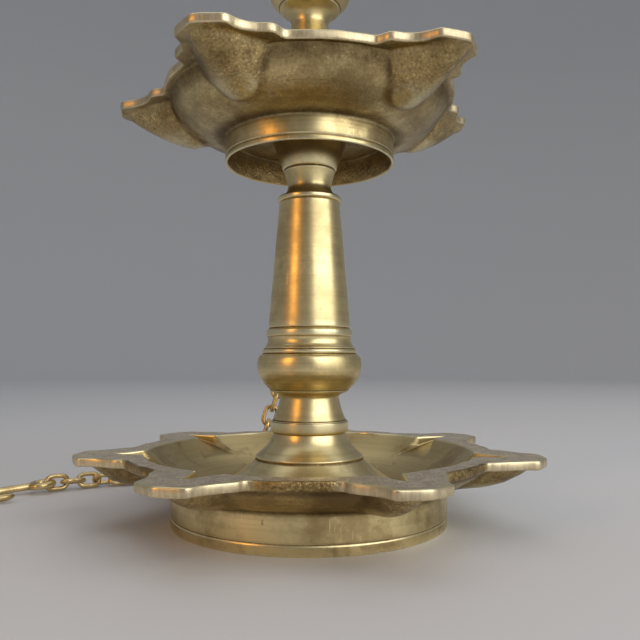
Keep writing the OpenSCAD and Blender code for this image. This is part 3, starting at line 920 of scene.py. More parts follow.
    def spool(self) -> list[tuple]:
        """Outline of the spool under the upper bowl.

        Returns:
            Radii and heights.
        """
        c, w = self.cut, self.line_w
        collar, neck, line_r = self.spool_collar_r, self.spool_neck_r, self.spool_line_r
        top, rise, line = self.spool_collar_h, self.spool_neck_h, self.spool_line_h
        body = [(collar - c, 0), (collar, c), (collar, top - c),
                *drawn((collar - c, top), (neck, top + w), (neck, rise), 10),
                *drawn((neck, rise), (neck + c, (rise + line) / 2), (line_r - c, line - c), 8)[1:],
                (line_r - w, line), (line_r, line + c), (self.spool_seat_r, self.up_under_z - self.column_seam_z)]
        return self.raised(body, self.column_seam_z)

    def upper_flare(self) -> list[tuple]:
        """Outline of the flared foot inside the upper bowl.

        Returns:
            Radii and heights.
        """
        c, w = self.cut, self.line_w
        top_r = self.up_ratio * self.ring_r - c
        line_r = top_r + 2 * w
        line, height = self.up_flare_line_h, self.stem_seam_z - self.up_floor_z
        body = [(self.up_flare_r, 0), (self.up_flare_r, w),
                *drawn((self.up_flare_r - w, 2 * w), (line_r + w, line / 2), (line_r + c, line - c), 14),
                (line_r, line),
                *drawn((line_r + c, line + c), (top_r, (line + height) / 2), (top_r, height - c), 12),
                (top_r - c, height)]
        return self.raised(body, self.up_floor_z)

    def finial(self) -> list[tuple]:
        """Outline of the finial's bud and stalk.

        Returns:
            Radii and heights.
        """
        c, w = self.cut, self.line_w
        collar, waist, bud = self.up_top_r + c, self.finial_waist_r, self.bud_r
        waist_z, stalk_z = self.bud_z / 2, self.eye_z - self.finial_z - self.bud_gap
        body = [(collar - c, 0), (collar, c), (collar, c + w),
                *drawn((collar - w, 2 * w), (waist, 2 * w), (waist, waist_z), 8),
                *drawn((waist, waist_z), (bud, waist_z + c), (bud, self.bud_z), 10)[1:],
                *drawn((bud, self.bud_z), (bud - c, stalk_z - c), (waist - c, stalk_z), 10)[1:],
                (waist - c, stalk_z + self.lap)]
        return self.raised(body, self.finial_z)

    def eye(self, material: bpy.types.Material) -> bpy.types.Object:
        """Builds the finial's eye, a thick round with a worn hole that the ring hangs in.

        Args:
            material: Brass of the turnings.

        Returns:
            The eye.
        """
        joint = next(j for j in frame["record"]["behaviour"]["joints"] if j["name"] == "ring_lift")
        axis = np.array(joint["axis"])
        ahead = np.cross((0, 0, 1), axis)
        hole, rim, half, w = self.eye_hole_r, self.eye_r, self.eye_t / 2, self.line_w
        # Radius, distance from the eye's middle plane and wear of each ring
        side = [(hole, half / 2, 0.6), (hole + w / 4, half - w, 0.9), (hole + w, half - w / 8, 0.6),
                (rim - 2 * w, half, 0), (rim - w, half - w / 8, 0.4), (rim - w / 4, half - w * 0.6, 1.0),
                (rim, half - 2 * w, 0.3)]
        profile = [*side, *[(r, -x, worn) for r, x, worn in reversed(side)]]
        turn = full_turn(self.eye_segments)
        around = np.outer(np.cos(turn), ahead) + np.outer(np.sin(turn), (0, 0, 1))
        grid = RingGrid()
        for radius, across, worn in profile:
            grid.add(np.array(joint["pos_m"]) + across * axis + radius * around, {Mask.WORN: worn})
        piece = grid.build("finial_eye", round_up=True)
        return dress(piece, material, "lamp", [])

    def build(self, material: bpy.types.Material) -> None:
        """Builds every turning of the stem.

        Args:
            material: Brass of the turnings.
        """
        low = self.turnings(1.0, (self.neck_r, self.neck_z), (self.cup_r, self.cup_z), (self.knop_r, self.knop_z),
                            (self.knop_top_r, self.knop_top_z))
        high = self.turnings(self.up_ratio, (self.up_neck_r, self.up_neck_z), (self.up_cup_r, self.up_cup_z),
                             (self.up_knop_r, self.up_knop_z), (self.up_knop_top_r, self.up_knop_top_z))
        lower = self.column(self.foot_seam_z, self.column_seam_z, self.column_top_r, low)
        upper = self.column(self.stem_seam_z, self.finial_z, self.up_top_r, high)
        for name, node, outline in (("flared_foot", "stem_foot", self.flared_foot()),
                                    ("lower_column", "column", lower),
                                    ("spool_under_bowl", "neck_spool", self.spool()),
                                    ("upper_flared_foot", "upper_stem_foot", self.upper_flare()),
                                    ("upper_column", "upper_stem", upper),
                                    ("finial_bud", "finial", self.finial())):
            Turning(name, node, outline).build(material)
        self.eye(material)


def sweep(path: np.ndarray, radii: np.ndarray, closed: bool, sides: int) -> tuple[np.ndarray, list[tuple]]:
    """Wire along a path that lies in one plane.

    Args:
        path: Positions of the wire's middle.
        radii: Radius of the wire at each position.
        closed: Whether the last position joins the first.
        sides: Number of sides of the wire.

    Returns:
        Points and faces.
    """
    ahead = np.roll(path, -1, 0) - np.roll(path, 1, 0)
    if not closed:
        ahead[0], ahead[-1] = path[1] - path[0], path[-1] - path[-2]
    flat = np.linalg.svd(path - path.mean(0))[2][2]
    turn = full_turn(sides)
    grid = RingGrid()
    for middle, radius, side in zip(path, radii, np.cross(unit(ahead), flat)):
        grid.add(middle + radius * (np.outer(np.cos(turn), side) + np.outer(np.sin(turn), flat)))
    return np.concatenate(grid.rings), grid.faces(closed, not closed)


def wear_wire(piece: bpy.types.Object, outward: np.ndarray) -> None:
    """Keeps wear on the outside of a bent wire and dirt on its inside.

    Args:
        piece: The bent wire.
        outward: How far outward each vertex lies, from -1 to 1.
    """
    store_mask(piece, Mask.WORN, np.clip(outward, 0, 1) ** 2)
    store_mask(piece, Mask.GRIME, np.clip(-outward, 0, 1))


def islands(node: bpy.types.Object) -> list[np.ndarray]:
    """Separate solids of a node.

    Args:
        node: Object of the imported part.

    Returns:
        Vertex positions of each solid.
    """
    points = np.array([v.co for v in node.data.vertices])
    _, merged = np.unique(np.round(points, 6), axis=0, return_inverse=True)
    merged = merged.reshape(-1)
    group = np.arange(merged.max() + 1)

    def root(i: int) -> int:
        """Finds the solid that a vertex belongs to.

        Args:
            i: Number of the vertex.

        Returns:
            Number of the solid's first vertex.
        """
        while group[i] != i:
            group[i] = group[group[i]]
            i = group[i]
        return i

    for edge in node.data.edges:
        a, b = root(merged[edge.vertices[0]]), root(merged[edge.vertices[1]])
        group[max(a, b)] = min(a, b)
    roots = np.array([root(i) for i in merged])
    return [points[roots == r] for r in np.unique(roots)]


def axes_of(points: np.ndarray) -> tuple[np.ndarray, np.ndarray]:
    """Middle of a solid and its long, middle and short directions.

    Args:
        points: Positions on the solid.

    Returns:
        The middle of its box along those directions, and the directions as rows.
    """
    spread = points - points.mean(0)
    rows = np.linalg.svd(spread, full_matrices=False)[2]
    along = points @ rows.T
    return (along.min(0) + along.max(0)) / 2 @ rows, rows


@dataclass
class Chain:
    """Ring, chain and hook, bent from brass wire."""

    wire_r: float = 1 * MM
    link_mid_r: float = 2.8 * MM
    link_l: float = 11.25 * MM
    ring_wire_r: float = 1.5 * MM
    ring_mid_r: float = 10 * MM
    hook_wire_r: float = 1.5 * MM
    hook_eye_r: float = 4.3 * MM
    hook_shank: float = 12 * MM
    hook_bend_r: float = 8 * MM
    hook_turn_deg: float = 215
    hook_az_deg: float = 207
    hook_dip_deg: float = 5.115
    hook_eye_deg: float = 349.2
    hook_point: tuple[float, ...] = (0.97, 0.92, 0.85, 0.74, 0.58, 0.25)
    link_butt: float = 0.86
    ring_butt: float = 0.9
    ring_segments: int = 72
    link_sides: int = 12
    thick_sides: int = 16
    link_bend_points: int = 11
    link_side_points: int = 9
    hook_eye_points: int = 40
    hook_shank_steps: int = 8
    hook_bend_points: int = 48

    def oval(self) -> tuple[np.ndarray, list[tuple]]:
        """One link, its long side along X, with the butt joint of its wire in one side.

        Returns:
            Points and faces.
        """
        side = self.link_l - 2 * self.wire_r - 2 * self.link_mid_r
        turns = np.linspace(-math.pi / 2, math.pi / 2, self.link_bend_points)
        bend = circle(self.link_mid_r, 0, turns)[:, :2] + (side / 2, 0)
        joint = np.linspace(side / 2, -side / 2, self.link_side_points)[1:-1]
        top = np.column_stack([joint, np.full(len(joint), self.link_mid_r)])
        path = level(np.concatenate([bend, top, -bend, -top]), 0)
        radii = np.full(len(path), self.wire_r)
        radii[len(bend) + len(joint) // 2] *= self.link_butt
        return sweep(path, radii, True, self.link_sides)

    def links(self, node: str, body: str, material: bpy.types.Material) -> bpy.types.Object:
        """Builds the links of one stretch where its solids are.

        Args:
            node: Stretch of chain.
            body: Body that it moves with.
            material: Brass of the wire.

        Returns:
            The stretch as one piece.
        """
        shape, faces = self.oval()
        points, all_faces = [], []
        flat = np.hypot(shape[:, 0], shape[:, 1])
        ends = ease((np.abs(shape[:, 0]) - self.link_mid_r) / self.link_mid_r)
        middle_r = np.repeat(flat.reshape(-1, self.link_sides).mean(1), self.link_sides)
        outward = (flat - middle_r) / self.wire_r * ends
        for solid in islands(frame["nodes"][node]):
            middle, rows = axes_of(solid)
            all_faces += [tuple(i + len(points) * len(shape) for i in f) for f in faces]
            points.append(middle + shape @ rows)
        piece = mesh_object(node + "_links", np.concatenate(points), all_faces)
        wear_wire(piece, np.tile(outward, len(points)))
        return dress(piece, material, body, [node])

    def ring(self, material: bpy.types.Material) -> bpy.types.Object:
        """Builds the ring in the finial's eye.

        Args:
            material: Brass of the wire.

        Returns:
            The piece.
        """
        middle, rows = axes_of(islands(frame["nodes"]["top_ring"])[0])
        radii = np.full(self.ring_segments, self.ring_wire_r)
        radii[self.ring_segments // 2] *= self.ring_butt
        path = circle(self.ring_mid_r, 0, full_turn(self.ring_segments))
        points, faces = sweep(path, radii, True, self.thick_sides)
        piece = mesh_object("eye_ring", middle + points @ rows, faces)
        wear_wire(piece, (np.hypot(points[:, 0], points[:, 1]) - self.ring_mid_r) / self.ring_wire_r)
        return dress(piece, material, "ring", ["top_ring"])

    def hook(self, material: bpy.types.Material) -> bpy.types.Object:
        """Builds the hook at the chain's end, with a rounded point.

        Args:
            material: Brass of the wire.

        Returns:
            The piece.
        """
        throat = next(m for m in frame["record"]["mounts"] if m["name"] == "hook_throat")
        r, eye = self.hook_bend_r, self.hook_eye_r
        start, end = 2 * eye, 2 * eye + self.hook_shank
        middle = np.array((end, r, 0))
        eye_turn = np.radians(np.linspace(-self.hook_eye_deg, 0, self.hook_eye_points))
        bend_turn = np.radians(np.linspace(-90, self.hook_turn_deg - 90, self.hook_bend_points)[1:])
        loop = circle(eye, 0, eye_turn) + (eye, 0, 0)
        shank = np.array(straight((start, 0, 0), (end, 0, 0), self.hook_shank_steps)[1:])
        bend = circle(r, 0, bend_turn) + middle
        path = np.concatenate([loop, shank, bend])
        radii = np.full(len(path), self.hook_wire_r)
        radii[-len(self.hook_point):] *= np.array(self.hook_point)
        points, faces = sweep(path, radii, False, self.thick_sides)
        az, dip = math.radians(self.hook_az_deg), math.radians(self.hook_dip_deg)
        frame_turn = np.array(Matrix.Rotation(az, 3, "Z") @ Matrix.Rotation(dip, 3, "Y"))
        points = np.array(throat["pos_m"]) + (points - middle) @ frame_turn.T
        piece = mesh_object("chain_hook", points, faces)
        return dress(piece, material, "hook", ["hanging_hook"])

    def build(self, material: bpy.types.Material) -> None:
        """Builds the ring, every stretch of chain and the hook.

        Args:
            material: Brass of the wire.
        """
        self.ring(material)
        for body, nodes in frame["record"]["behaviour"]["bodies"].items():
            for node in nodes:
                if node.startswith("chain_"):
                    self.links(node, body, material)
        self.hook(material)


class Graph:
    """Adds and links the nodes of a shader tree."""

    def __init__(self, tree: bpy.types.NodeTree) -> None:
        """Takes the tree that the nodes go into."""
        self.tree = tree

    def add(self, kind: str, inputs: dict | None = None, **settings: object) -> bpy.types.Node:
        """Adds a node.

        Args:
            kind: Type of the node.
            inputs: Values or sockets for its inputs, by name or number.
            **settings: Properties of the node.

        Returns:
            The node.
        """
        node = self.tree.nodes.new(kind)
        for key, value in settings.items():
            setattr(node, key, value)
        for key, value in (inputs or {}).items():
            self.feed(node.inputs[key], value)
        return node

    def feed(self, socket: Socket, value: object) -> None:
        """Links a socket to an input, or sets the input's own value.

        Args:
            socket: The input.
            value: Socket or value for it.
        """
        if isinstance(value, Socket):
            self.tree.links.new(value, socket)
        else:
            socket.default_value = value

    def math(self, operation: str, a: object, b: object, clamp: bool = False) -> Socket:
        """Result of an operation on two values."""
        return self.add("ShaderNodeMath", {0: a, 1: b}, operation=operation, use_clamp=clamp).outputs[0]

    def times(self, *values: object) -> Socket:
        """Product of values."""
        return functools.reduce(lambda a, b: self.math("MULTIPLY", a, b), values)

    def mix(self, share: object, a: object, b: object) -> Socket:
        """Colour between two colours."""
        return self.add("ShaderNodeMix", {0: share, 6: a, 7: b}, data_type="RGBA").outputs[2]

    def blend(self, share: object, a: object, b: object) -> Socket:
        """Value between two values."""
        return self.add("ShaderNodeMix", {0: share, 2: a, 3: b}, data_type="FLOAT").outputs[0]

    def rise(self, value: object, low: object, high: object) -> Socket:
        """Smooth rise from 0 to 1 between two values."""
        return self.add("ShaderNodeMapRange", {"Value": value, "From Min": low, "From Max": high},
                        interpolation_type="SMOOTHSTEP").outputs[0]

    def noise(self, vector: object, scale: object, detail: float, rough: float) -> Socket:
        """Noise from 0 to 1."""
        wave = {"Vector": vector, "Scale": scale, "Detail": detail, "Roughness": rough}
        return self.add("ShaderNodeTexNoise", wave).outputs["Fac"]


class Effects:
    """Shader groups that the brasses share."""

    def __init__(self) -> None:
        """Builds each group once."""
        self.lathe = self.lathe_marks()
        self.grain = self.cast_grain()
        self.patina = self.old_patina()
        # Group of edge wear and dirt, which also paints highlights and shade on the cast underside.
        self.wear = self.wear_dirt_and_painted_light()
        self.scratch = self.scratches()
        self.file = self.file_marks()

    def group(self, name: str, values: dict[str, float]) -> tuple[Graph, Sockets]:
        """Starts a group.

        Args:
            name: Name of the group.
            values: Names and defaults of its value inputs, beside the position.

        Returns:
            The group's graph, and its inputs by name.
        """
        tree = bpy.data.node_groups.new(name, "ShaderNodeTree")
        tree.interface.new_socket("Position", in_out="INPUT", socket_type="NodeSocketVector")
        for key, value in values.items():
            socket = tree.interface.new_socket(key, in_out="INPUT", socket_type="NodeSocketFloat")
            socket.default_value = value
        graph = Graph(tree)
        return graph, {socket.name: socket for socket in graph.add("NodeGroupInput").outputs if socket.name}

    def finish(self, graph: Graph, **results: Socket) -> bpy.types.NodeTree:
        """Gives a group its value outputs.

        Args:
            graph: The group's graph.
            **results: Sockets that feed the outputs, by the outputs' names.

        Returns:
            The group.
        """
        for key in results:
            graph.tree.interface.new_socket(key, in_out="OUTPUT", socket_type="NodeSocketFloat")
        graph.add("NodeGroupOutput", results)
        return graph.tree

    def lathe_marks(self) -> bpy.types.NodeTree:
        """Fine rings left by the turning tool, and a slow change of tone along them.

        Returns:
            The group.
        """
        graph, ends = self.group("lathe_marks", {"Spacing": 0.001, "Drift": 1.0})
        split = graph.add("ShaderNodeSeparateXYZ", {0: ends["Position"]}).outputs
        flat = graph.add("ShaderNodeCombineXYZ", {0: split[0], 1: split[1]}).outputs[0]
        radius = graph.add("ShaderNodeVectorMath", {0: flat}, operation="LENGTH").outputs["Value"]
        slow = graph.times(graph.noise(ends["Position"], 40.0, 1.0, 0.5), ends["Drift"])
        across = graph.math("DIVIDE", radius, ends["Spacing"])
        upward = graph.math("DIVIDE", split[2], ends["Spacing"])
        rings = graph.add("ShaderNodeCombineXYZ", {0: across, 1: upward, 2: slow}).outputs[0]
        return self.finish(graph, Height=graph.noise(rings, 1.0, 3.0, 0.65),
                           Tone=graph.noise(rings, 0.45, 3.0, 0.65))

    def cast_grain(self) -> bpy.types.NodeTree:
        """Sandy skin of a casting, with pits and glints.

        Returns:
            The group.
        """
        graph, ends = self.group("cast_grain", {"Size": 0.0008})
        scale = graph.math("DIVIDE", 1.0, ends["Size"])
        fine = graph.noise(ends["Position"], scale, 3.0, 0.7)
        coarse = graph.noise(ends["Position"], graph.times(scale, 0.3), 2.0, 0.6)
        cells = graph.add("ShaderNodeTexVoronoi", {"Vector": ends["Position"], "Scale": scale}, feature="SMOOTH_F1")
        height = graph.math("ADD", graph.times(fine, 0.6), graph.times(coarse, 0.5))
        height = graph.math("SUBTRACT", height, graph.times(cells.outputs["Distance"], 0.45))
        return self.finish(graph, Height=height, Pits=graph.rise(height, 0.42, 0.16),
                           Glint=graph.rise(height, 0.44, 0.62))

    def old_patina(self) -> bpy.types.NodeTree:
        """Dull blotches, brown stains and small dark spots of old brass.

        Returns:
            The group.
        """
        graph, ends = self.group("old_patina", {"Size": 0.02, "Amount": 1.0})
        scale = graph.math("DIVIDE", 1.0, ends["Size"])
        cloud = graph.noise(ends["Position"], scale, 6.0, 0.62)
        blotch = graph.math("MULTIPLY", graph.rise(cloud, 0.40, 0.66), ends["Amount"], True)
        cells = graph.add("ShaderNodeTexVoronoi", {"Vector": ends["Position"], "Scale": graph.times(scale, 5.0)})
        odd = graph.add("ShaderNodeSeparateColor", {0: cells.outputs["Color"]}).outputs
        wide = graph.times(graph.rise(odd[0], 0.72, 1.0), 0.30)
        ragged = graph.times(graph.noise(ends["Position"], graph.times(scale, 16.0), 4.0, 0.65), 0.70)
        reach = graph.math("ADD", cells.outputs["Distance"], ragged)
        spots = graph.rise(graph.math("SUBTRACT", wide, reach), -0.20, -0.06)
        stain = graph.rise(graph.noise(ends["Position"], graph.times(scale, 1.3), 8.0, 0.68), 0.54, 0.61)
        return self.finish(graph, Blotch=blotch, Spots=graph.times(spots, ends["Amount"]),
                           Stain=graph.times(stain, ends["Amount"]))

    def wear_dirt_and_painted_light(self) -> bpy.types.NodeTree:
        """Bright wear on edges and dirt in hollows, both broken up; on the cast underside the same marks paint a
        highlight on the keels and shade in the creases, under the rim and near the foot.

        Returns:
            The group.
        """
        graph, ends = self.group("wear_dirt_and_painted_light", {"Worn_and_highlight": 0.0, "Grime_and_shade": 0.0})
        fine = graph.noise(ends["Position"], 900.0, 4.0, 0.65)
        coarse = graph.noise(ends["Position"], 130.0, 3.0, 0.6)
        broken = graph.math("ADD", graph.times(fine, 0.5), graph.times(coarse, 0.5))
        wear = graph.times(ends["Worn_and_highlight"], graph.math("ADD", broken, 0.25))
        dirt = graph.times(ends["Grime_and_shade"], graph.math("SUBTRACT", 1.2, broken))
        return self.finish(graph, Wear=graph.rise(wear, 0.22, 0.72), Dirt=graph.rise(dirt, 0.12, 0.85))

    def file_marks(self) -> bpy.types.NodeTree:
        """Upright strokes that a file leaves on an edge, which are specks on a level face.

        Returns:
            The group.
        """
        graph, ends = self.group("file_marks", {"Spacing": 0.0007})
        scale = graph.math("DIVIDE", 1.0, ends["Spacing"])
        long = graph.add("ShaderNodeMapping", {"Vector": ends["Position"], "Scale": (1.0, 1.0, 0.15)}).outputs[0]
        fine = graph.noise(long, scale, 3.0, 0.65)
        broad = graph.noise(long, graph.times(scale, 0.2), 2.0, 0.5)
        both = graph.math("ADD", graph.times(fine, 0.65), graph.times(broad, 0.35))
        return self.finish(graph, Height=graph.math("ADD", fine, graph.times(broad, 1.5)),
                           Tone=graph.rise(both, 0.36, 0.64))

    def scratches(self) -> bpy.types.NodeTree:
        """Thin scratches that run in two slanting directions.

        Returns:
            The group.
        """
        graph, ends = self.group("scratches", {"Density": 1.0})
        marks = []
        for slant in ((0.5, 0.9, 0.3), (-0.7, 0.4, 1.9)):
            long = graph.add("ShaderNodeMapping", {"Vector": ends["Position"], "Rotation": slant,
                                                   "Scale": (2600.0, 90.0, 120.0)}).outputs[0]
            thin = graph.rise(graph.noise(long, 1.0, 1.0, 0.5), 0.70, 0.78)
            where = graph.rise(graph.noise(ends["Position"], 110.0, 2.0, 0.5), 0.50, 0.62)
            marks.append(graph.times(thin, where))
        both = graph.math("MAXIMUM", marks[0], marks[1])
        return self.finish(graph, Mark=graph.math("MULTIPLY", both, ends["Density"], True))


@dataclass(frozen=True)
class BrassFinish:
    """An old brass: its colours, how rough it is, and the size and depth of its marks."""

    name: str
    bright: Colour
    dull: Colour
    spot: Colour = (0.16, 0.11, 0.05, 1)
    stain: Colour = (0.36, 0.25, 0.115, 1)
    cast_light: Colour = (0.84, 0.66, 0.31, 1)
    cast_mid: Colour = (0.44, 0.315, 0.13, 1)
    cast_dark: Colour = (0.12, 0.072, 0.028, 1)
    rim_light: Colour = (0.86, 0.77, 0.59, 1)
    rim_dark: Colour = (0.52, 0.43, 0.32, 1)
    # Colour of dirt, which also serves as painted shade on the cast underside.
    grime: Colour = (0.08, 0.046, 0.019, 1)
    # Colour of wear and scratches, which also serves as a painted highlight on the keels.
    worn: Colour = (0.90, 0.80, 0.50, 1)
    rough_bright: float = 0.30
    rough_dull: float = 0.42
    rough_cast: float = 0.31
    rough_rim: float = 0.46
    lathe_spacing: float = 0.7 * MM
    lathe_depth: float = 0.024
    patina_size: float = 22 * MM
    patina: float = 0.8
    staining: float = 0.25
    scratch: float = 1.0
    grain: float = 0.8 * MM
    grain_depth: float = 0.34
    file_spacing: float = 0.8 * MM
    file_depth: float = 0.02
    mark_depth: float = 0.012
    lathe_drift: float = 1.6
    lathe_tone: float = 0.4
    dulling: float = 0.85
    spotting: float = 0.75
    pitting: float = 0.7
    cast_blotch: float = 0.8
    rim_blotch: float = 0.35
    # Strengths of dirt with painted shade, and of wear with painted highlights.
    dirt: float = 0.85
    wear: float = 0.8
    # Roughness where dirt and painted shade cover the brass.
    dirt_and_shade_cover: float = 0.7
    rough_dirt_and_shade: float = 0.7

    def material(self, effects: Effects) -> bpy.types.Material:
        """Builds the material.

        Args:
            effects: Shader groups to use.

        Returns:
            The material.
        """
        made = bpy.data.materials.new(self.name)
        made.use_nodes = True
        graph = Graph(made.node_tree)
        shader = made.node_tree.nodes["Principled BSDF"]
        mask = {m: graph.add("ShaderNodeAttribute", attribute_name=m.value).outputs["Fac"] for m in Mask}
        marks = self.marks(graph, effects, mask)
        rim = graph.math("MULTIPLY", mask[Mask.RIM], graph.math("SUBTRACT", 1.0, mask[Mask.CAST]), True)
        dim = graph.math("MAXIMUM", marks["patina"]["Blotch"], graph.times(mask[Mask.DULL], self.dulling), True)
        graph.feed(shader.inputs["Base Color"], self.colour(graph, marks, mask[Mask.CAST], rim, dim))
        graph.feed(shader.inputs["Roughness"], self.roughness(graph, marks, mask[Mask.CAST], rim, dim))
        shader.inputs["Metallic"].default_value = 1.0
        relief = self.relief(graph, marks, mask[Mask.CAST], rim)
        bump = graph.add("ShaderNodeBump", {"Height": relief, "Distance": 1 * MM, "Strength": 1.0})
        graph.feed(shader.inputs["Normal"], bump.outputs["Normal"])
        return made

    def marks(self, graph: Graph, effects: Effects, mask: dict[Mask, Socket]) -> dict[str, Sockets]:
        """Places the shared effects with this brass's own values.

        Args:
            graph: The material's graph.
            effects: Shader groups to use.
            mask: Vertex masks.

        Returns:
            Outputs of each effect by name.
        """
        where = graph.add("ShaderNodeTexCoord").outputs["Object"]
        values = {"lathe": (effects.lathe, {"Spacing": self.lathe_spacing, "Drift": self.lathe_drift}),
                  "grain": (effects.grain, {"Size": self.grain}),
                  "patina": (effects.patina, {"Size": self.patina_size, "Amount": self.patina}),
                  "scratch": (effects.scratch, {"Density": self.scratch}),
                  "filed": (effects.file, {"Spacing": self.file_spacing}),
                  # The wear group also carries painted highlights and painted shade.
                  "wear": (effects.wear, {"Worn_and_highlight": mask[Mask.WORN], "Grime_and_shade": mask[Mask.GRIME]})}
        return {name: self.place(graph, group, where, inputs) for name, (group, inputs) in values.items()}

    def colour(self, graph: Graph, marks: dict[str, Sockets], cast: Socket, rim: Socket, dim: Socket) -> Socket:
        """Colour of the brass: metal, cast skin, filed rim, then dirt with painted shade and wear with painted
        highlights over all.

        Args:
            graph: The material's graph.
            marks: Outputs of the effects.
            cast: Mask of the cast skin.
            rim: Mask of the filed rim.
            dim: Mask of the dull metal.

        Returns:
            The colour.
        """
        patina, grain, wear = marks["patina"], marks["grain"], marks["wear"]
        streaks = graph.rise(marks["lathe"]["Tone"], 0.42, 0.72)
        colour = graph.mix(dim, self.bright, self.dull)
        for share, amount, over in ((streaks, self.lathe_tone, self.dull), (patina["Stain"], self.staining, self.stain),
                                    (patina["Spots"], self.spotting, self.spot)):
            colour = graph.mix(graph.times(share, amount), colour, over)
        colour = graph.mix(marks["scratch"]["Mark"], colour, self.worn)
        sand = graph.mix(grain["Glint"], self.cast_mid, self.cast_light)
        for share, amount in ((grain["Pits"], self.pitting), (patina["Blotch"], self.cast_blotch)):
            sand = graph.mix(graph.times(share, amount), sand, self.cast_dark)
        colour = graph.mix(cast, colour, sand)
        flat = graph.mix(marks["filed"]["Tone"], self.rim_dark, self.rim_light)
        flat = graph.mix(graph.times(patina["Blotch"], self.rim_blotch), flat, self.rim_dark)
        colour = graph.mix(rim, colour, flat)
        # Darkened by dirt, and by painted shade on the cast underside.
        colour = graph.mix(graph.times(wear["Dirt"], self.dirt), colour, self.grime)
        # Lightened by wear, and by a painted highlight on the keels.
        return graph.mix(graph.times(wear["Wear"], self.wear), colour, self.worn)

    def roughness(self, graph: Graph, marks: dict[str, Sockets], cast: Socket, rim: Socket, dim: Socket) -> Socket:
        """Roughness of the brass.

        Args:
            graph: The material's graph.
            marks: Outputs of the effects.
            cast: Mask of the cast skin.
            rim: Mask of the filed rim.
            dim: Mask of the dull metal.

        Returns:
            The roughness.
        """
        wear = marks["wear"]
        rough = graph.blend(dim, self.rough_bright, self.rough_dull)
        for share, over in ((cast, self.rough_cast), (rim, self.rough_rim),
                            (graph.times(wear["Dirt"], self.dirt_and_shade_cover), self.rough_dirt_and_shade),
                            (wear["Wear"], self.rough_bright)):
            rough = graph.blend(share, rough, over)
        return rough

    def relief(self, graph: Graph, marks: dict[str, Sockets], cast: Socket, rim: Socket) -> Socket:
        """Height of the fine marks: lathe lines, sandy skin, file strokes, scratches and spots.

        Args:
            graph: The material's graph.
            marks: Outputs of the effects.
            cast: Mask of the cast skin.
            rim: Mask of the filed rim.

        Returns:
            The height in millimetres.
        """
        turned = graph.math("SUBTRACT", 1.0, graph.math("MAXIMUM", cast, rim), True)
        lines = graph.times(marks["lathe"]["Height"], self.lathe_depth, turned)
        sandy = graph.times(marks["grain"]["Height"], self.grain_depth, cast)
        strokes = graph.times(marks["filed"]["Height"], self.file_depth, rim)
        height = graph.math("ADD", graph.math("ADD", lines, sandy), strokes)
        for cut in (marks["scratch"]["Mark"], marks["patina"]["Spots"]):
            height = graph.math("SUBTRACT", height, graph.times(cut, self.mark_depth))
        return height

    def place(self, graph: Graph, group: bpy.types.NodeTree, where: Socket, values: dict) -> Sockets:
        """Places an effect in a material.

        Args:
            graph: The material's graph.
            group: Effect to place.
            where: Position on the surface.
            values: Values or sockets of the effect's inputs.

        Returns:
            The effect's outputs by name.
        """
        node = graph.add("ShaderNodeGroup", node_tree=group)
        for key, value in {"Position": where, **values}.items():
            graph.feed(node.inputs[key], value)
        return {socket.name: socket for socket in node.outputs}


CAST_BRASS = BrassFinish("cast_brass", bright=(0.80, 0.665, 0.35, 1), dull=(0.42, 0.325, 0.155, 1),
                         patina=1.0, staining=0.5)
TURNED_BRASS = BrassFinish("turned_brass", bright=(0.84, 0.70, 0.37, 1), dull=(0.52, 0.415, 0.20, 1))
WIRE_BRASS = BrassFinish("wire_brass", bright=(0.80, 0.62, 0.31, 1), dull=(0.46, 0.34, 0.15, 1), patina_size=9 * MM,
                         lathe_depth=0.0, scratch=0.4)
NUT_BRASS = BrassFinish("nut_brass", bright=(0.66, 0.51, 0.25, 1), dull=(0.38, 0.28, 0.13, 1), patina_size=8 * MM,
                        rough_bright=0.34)


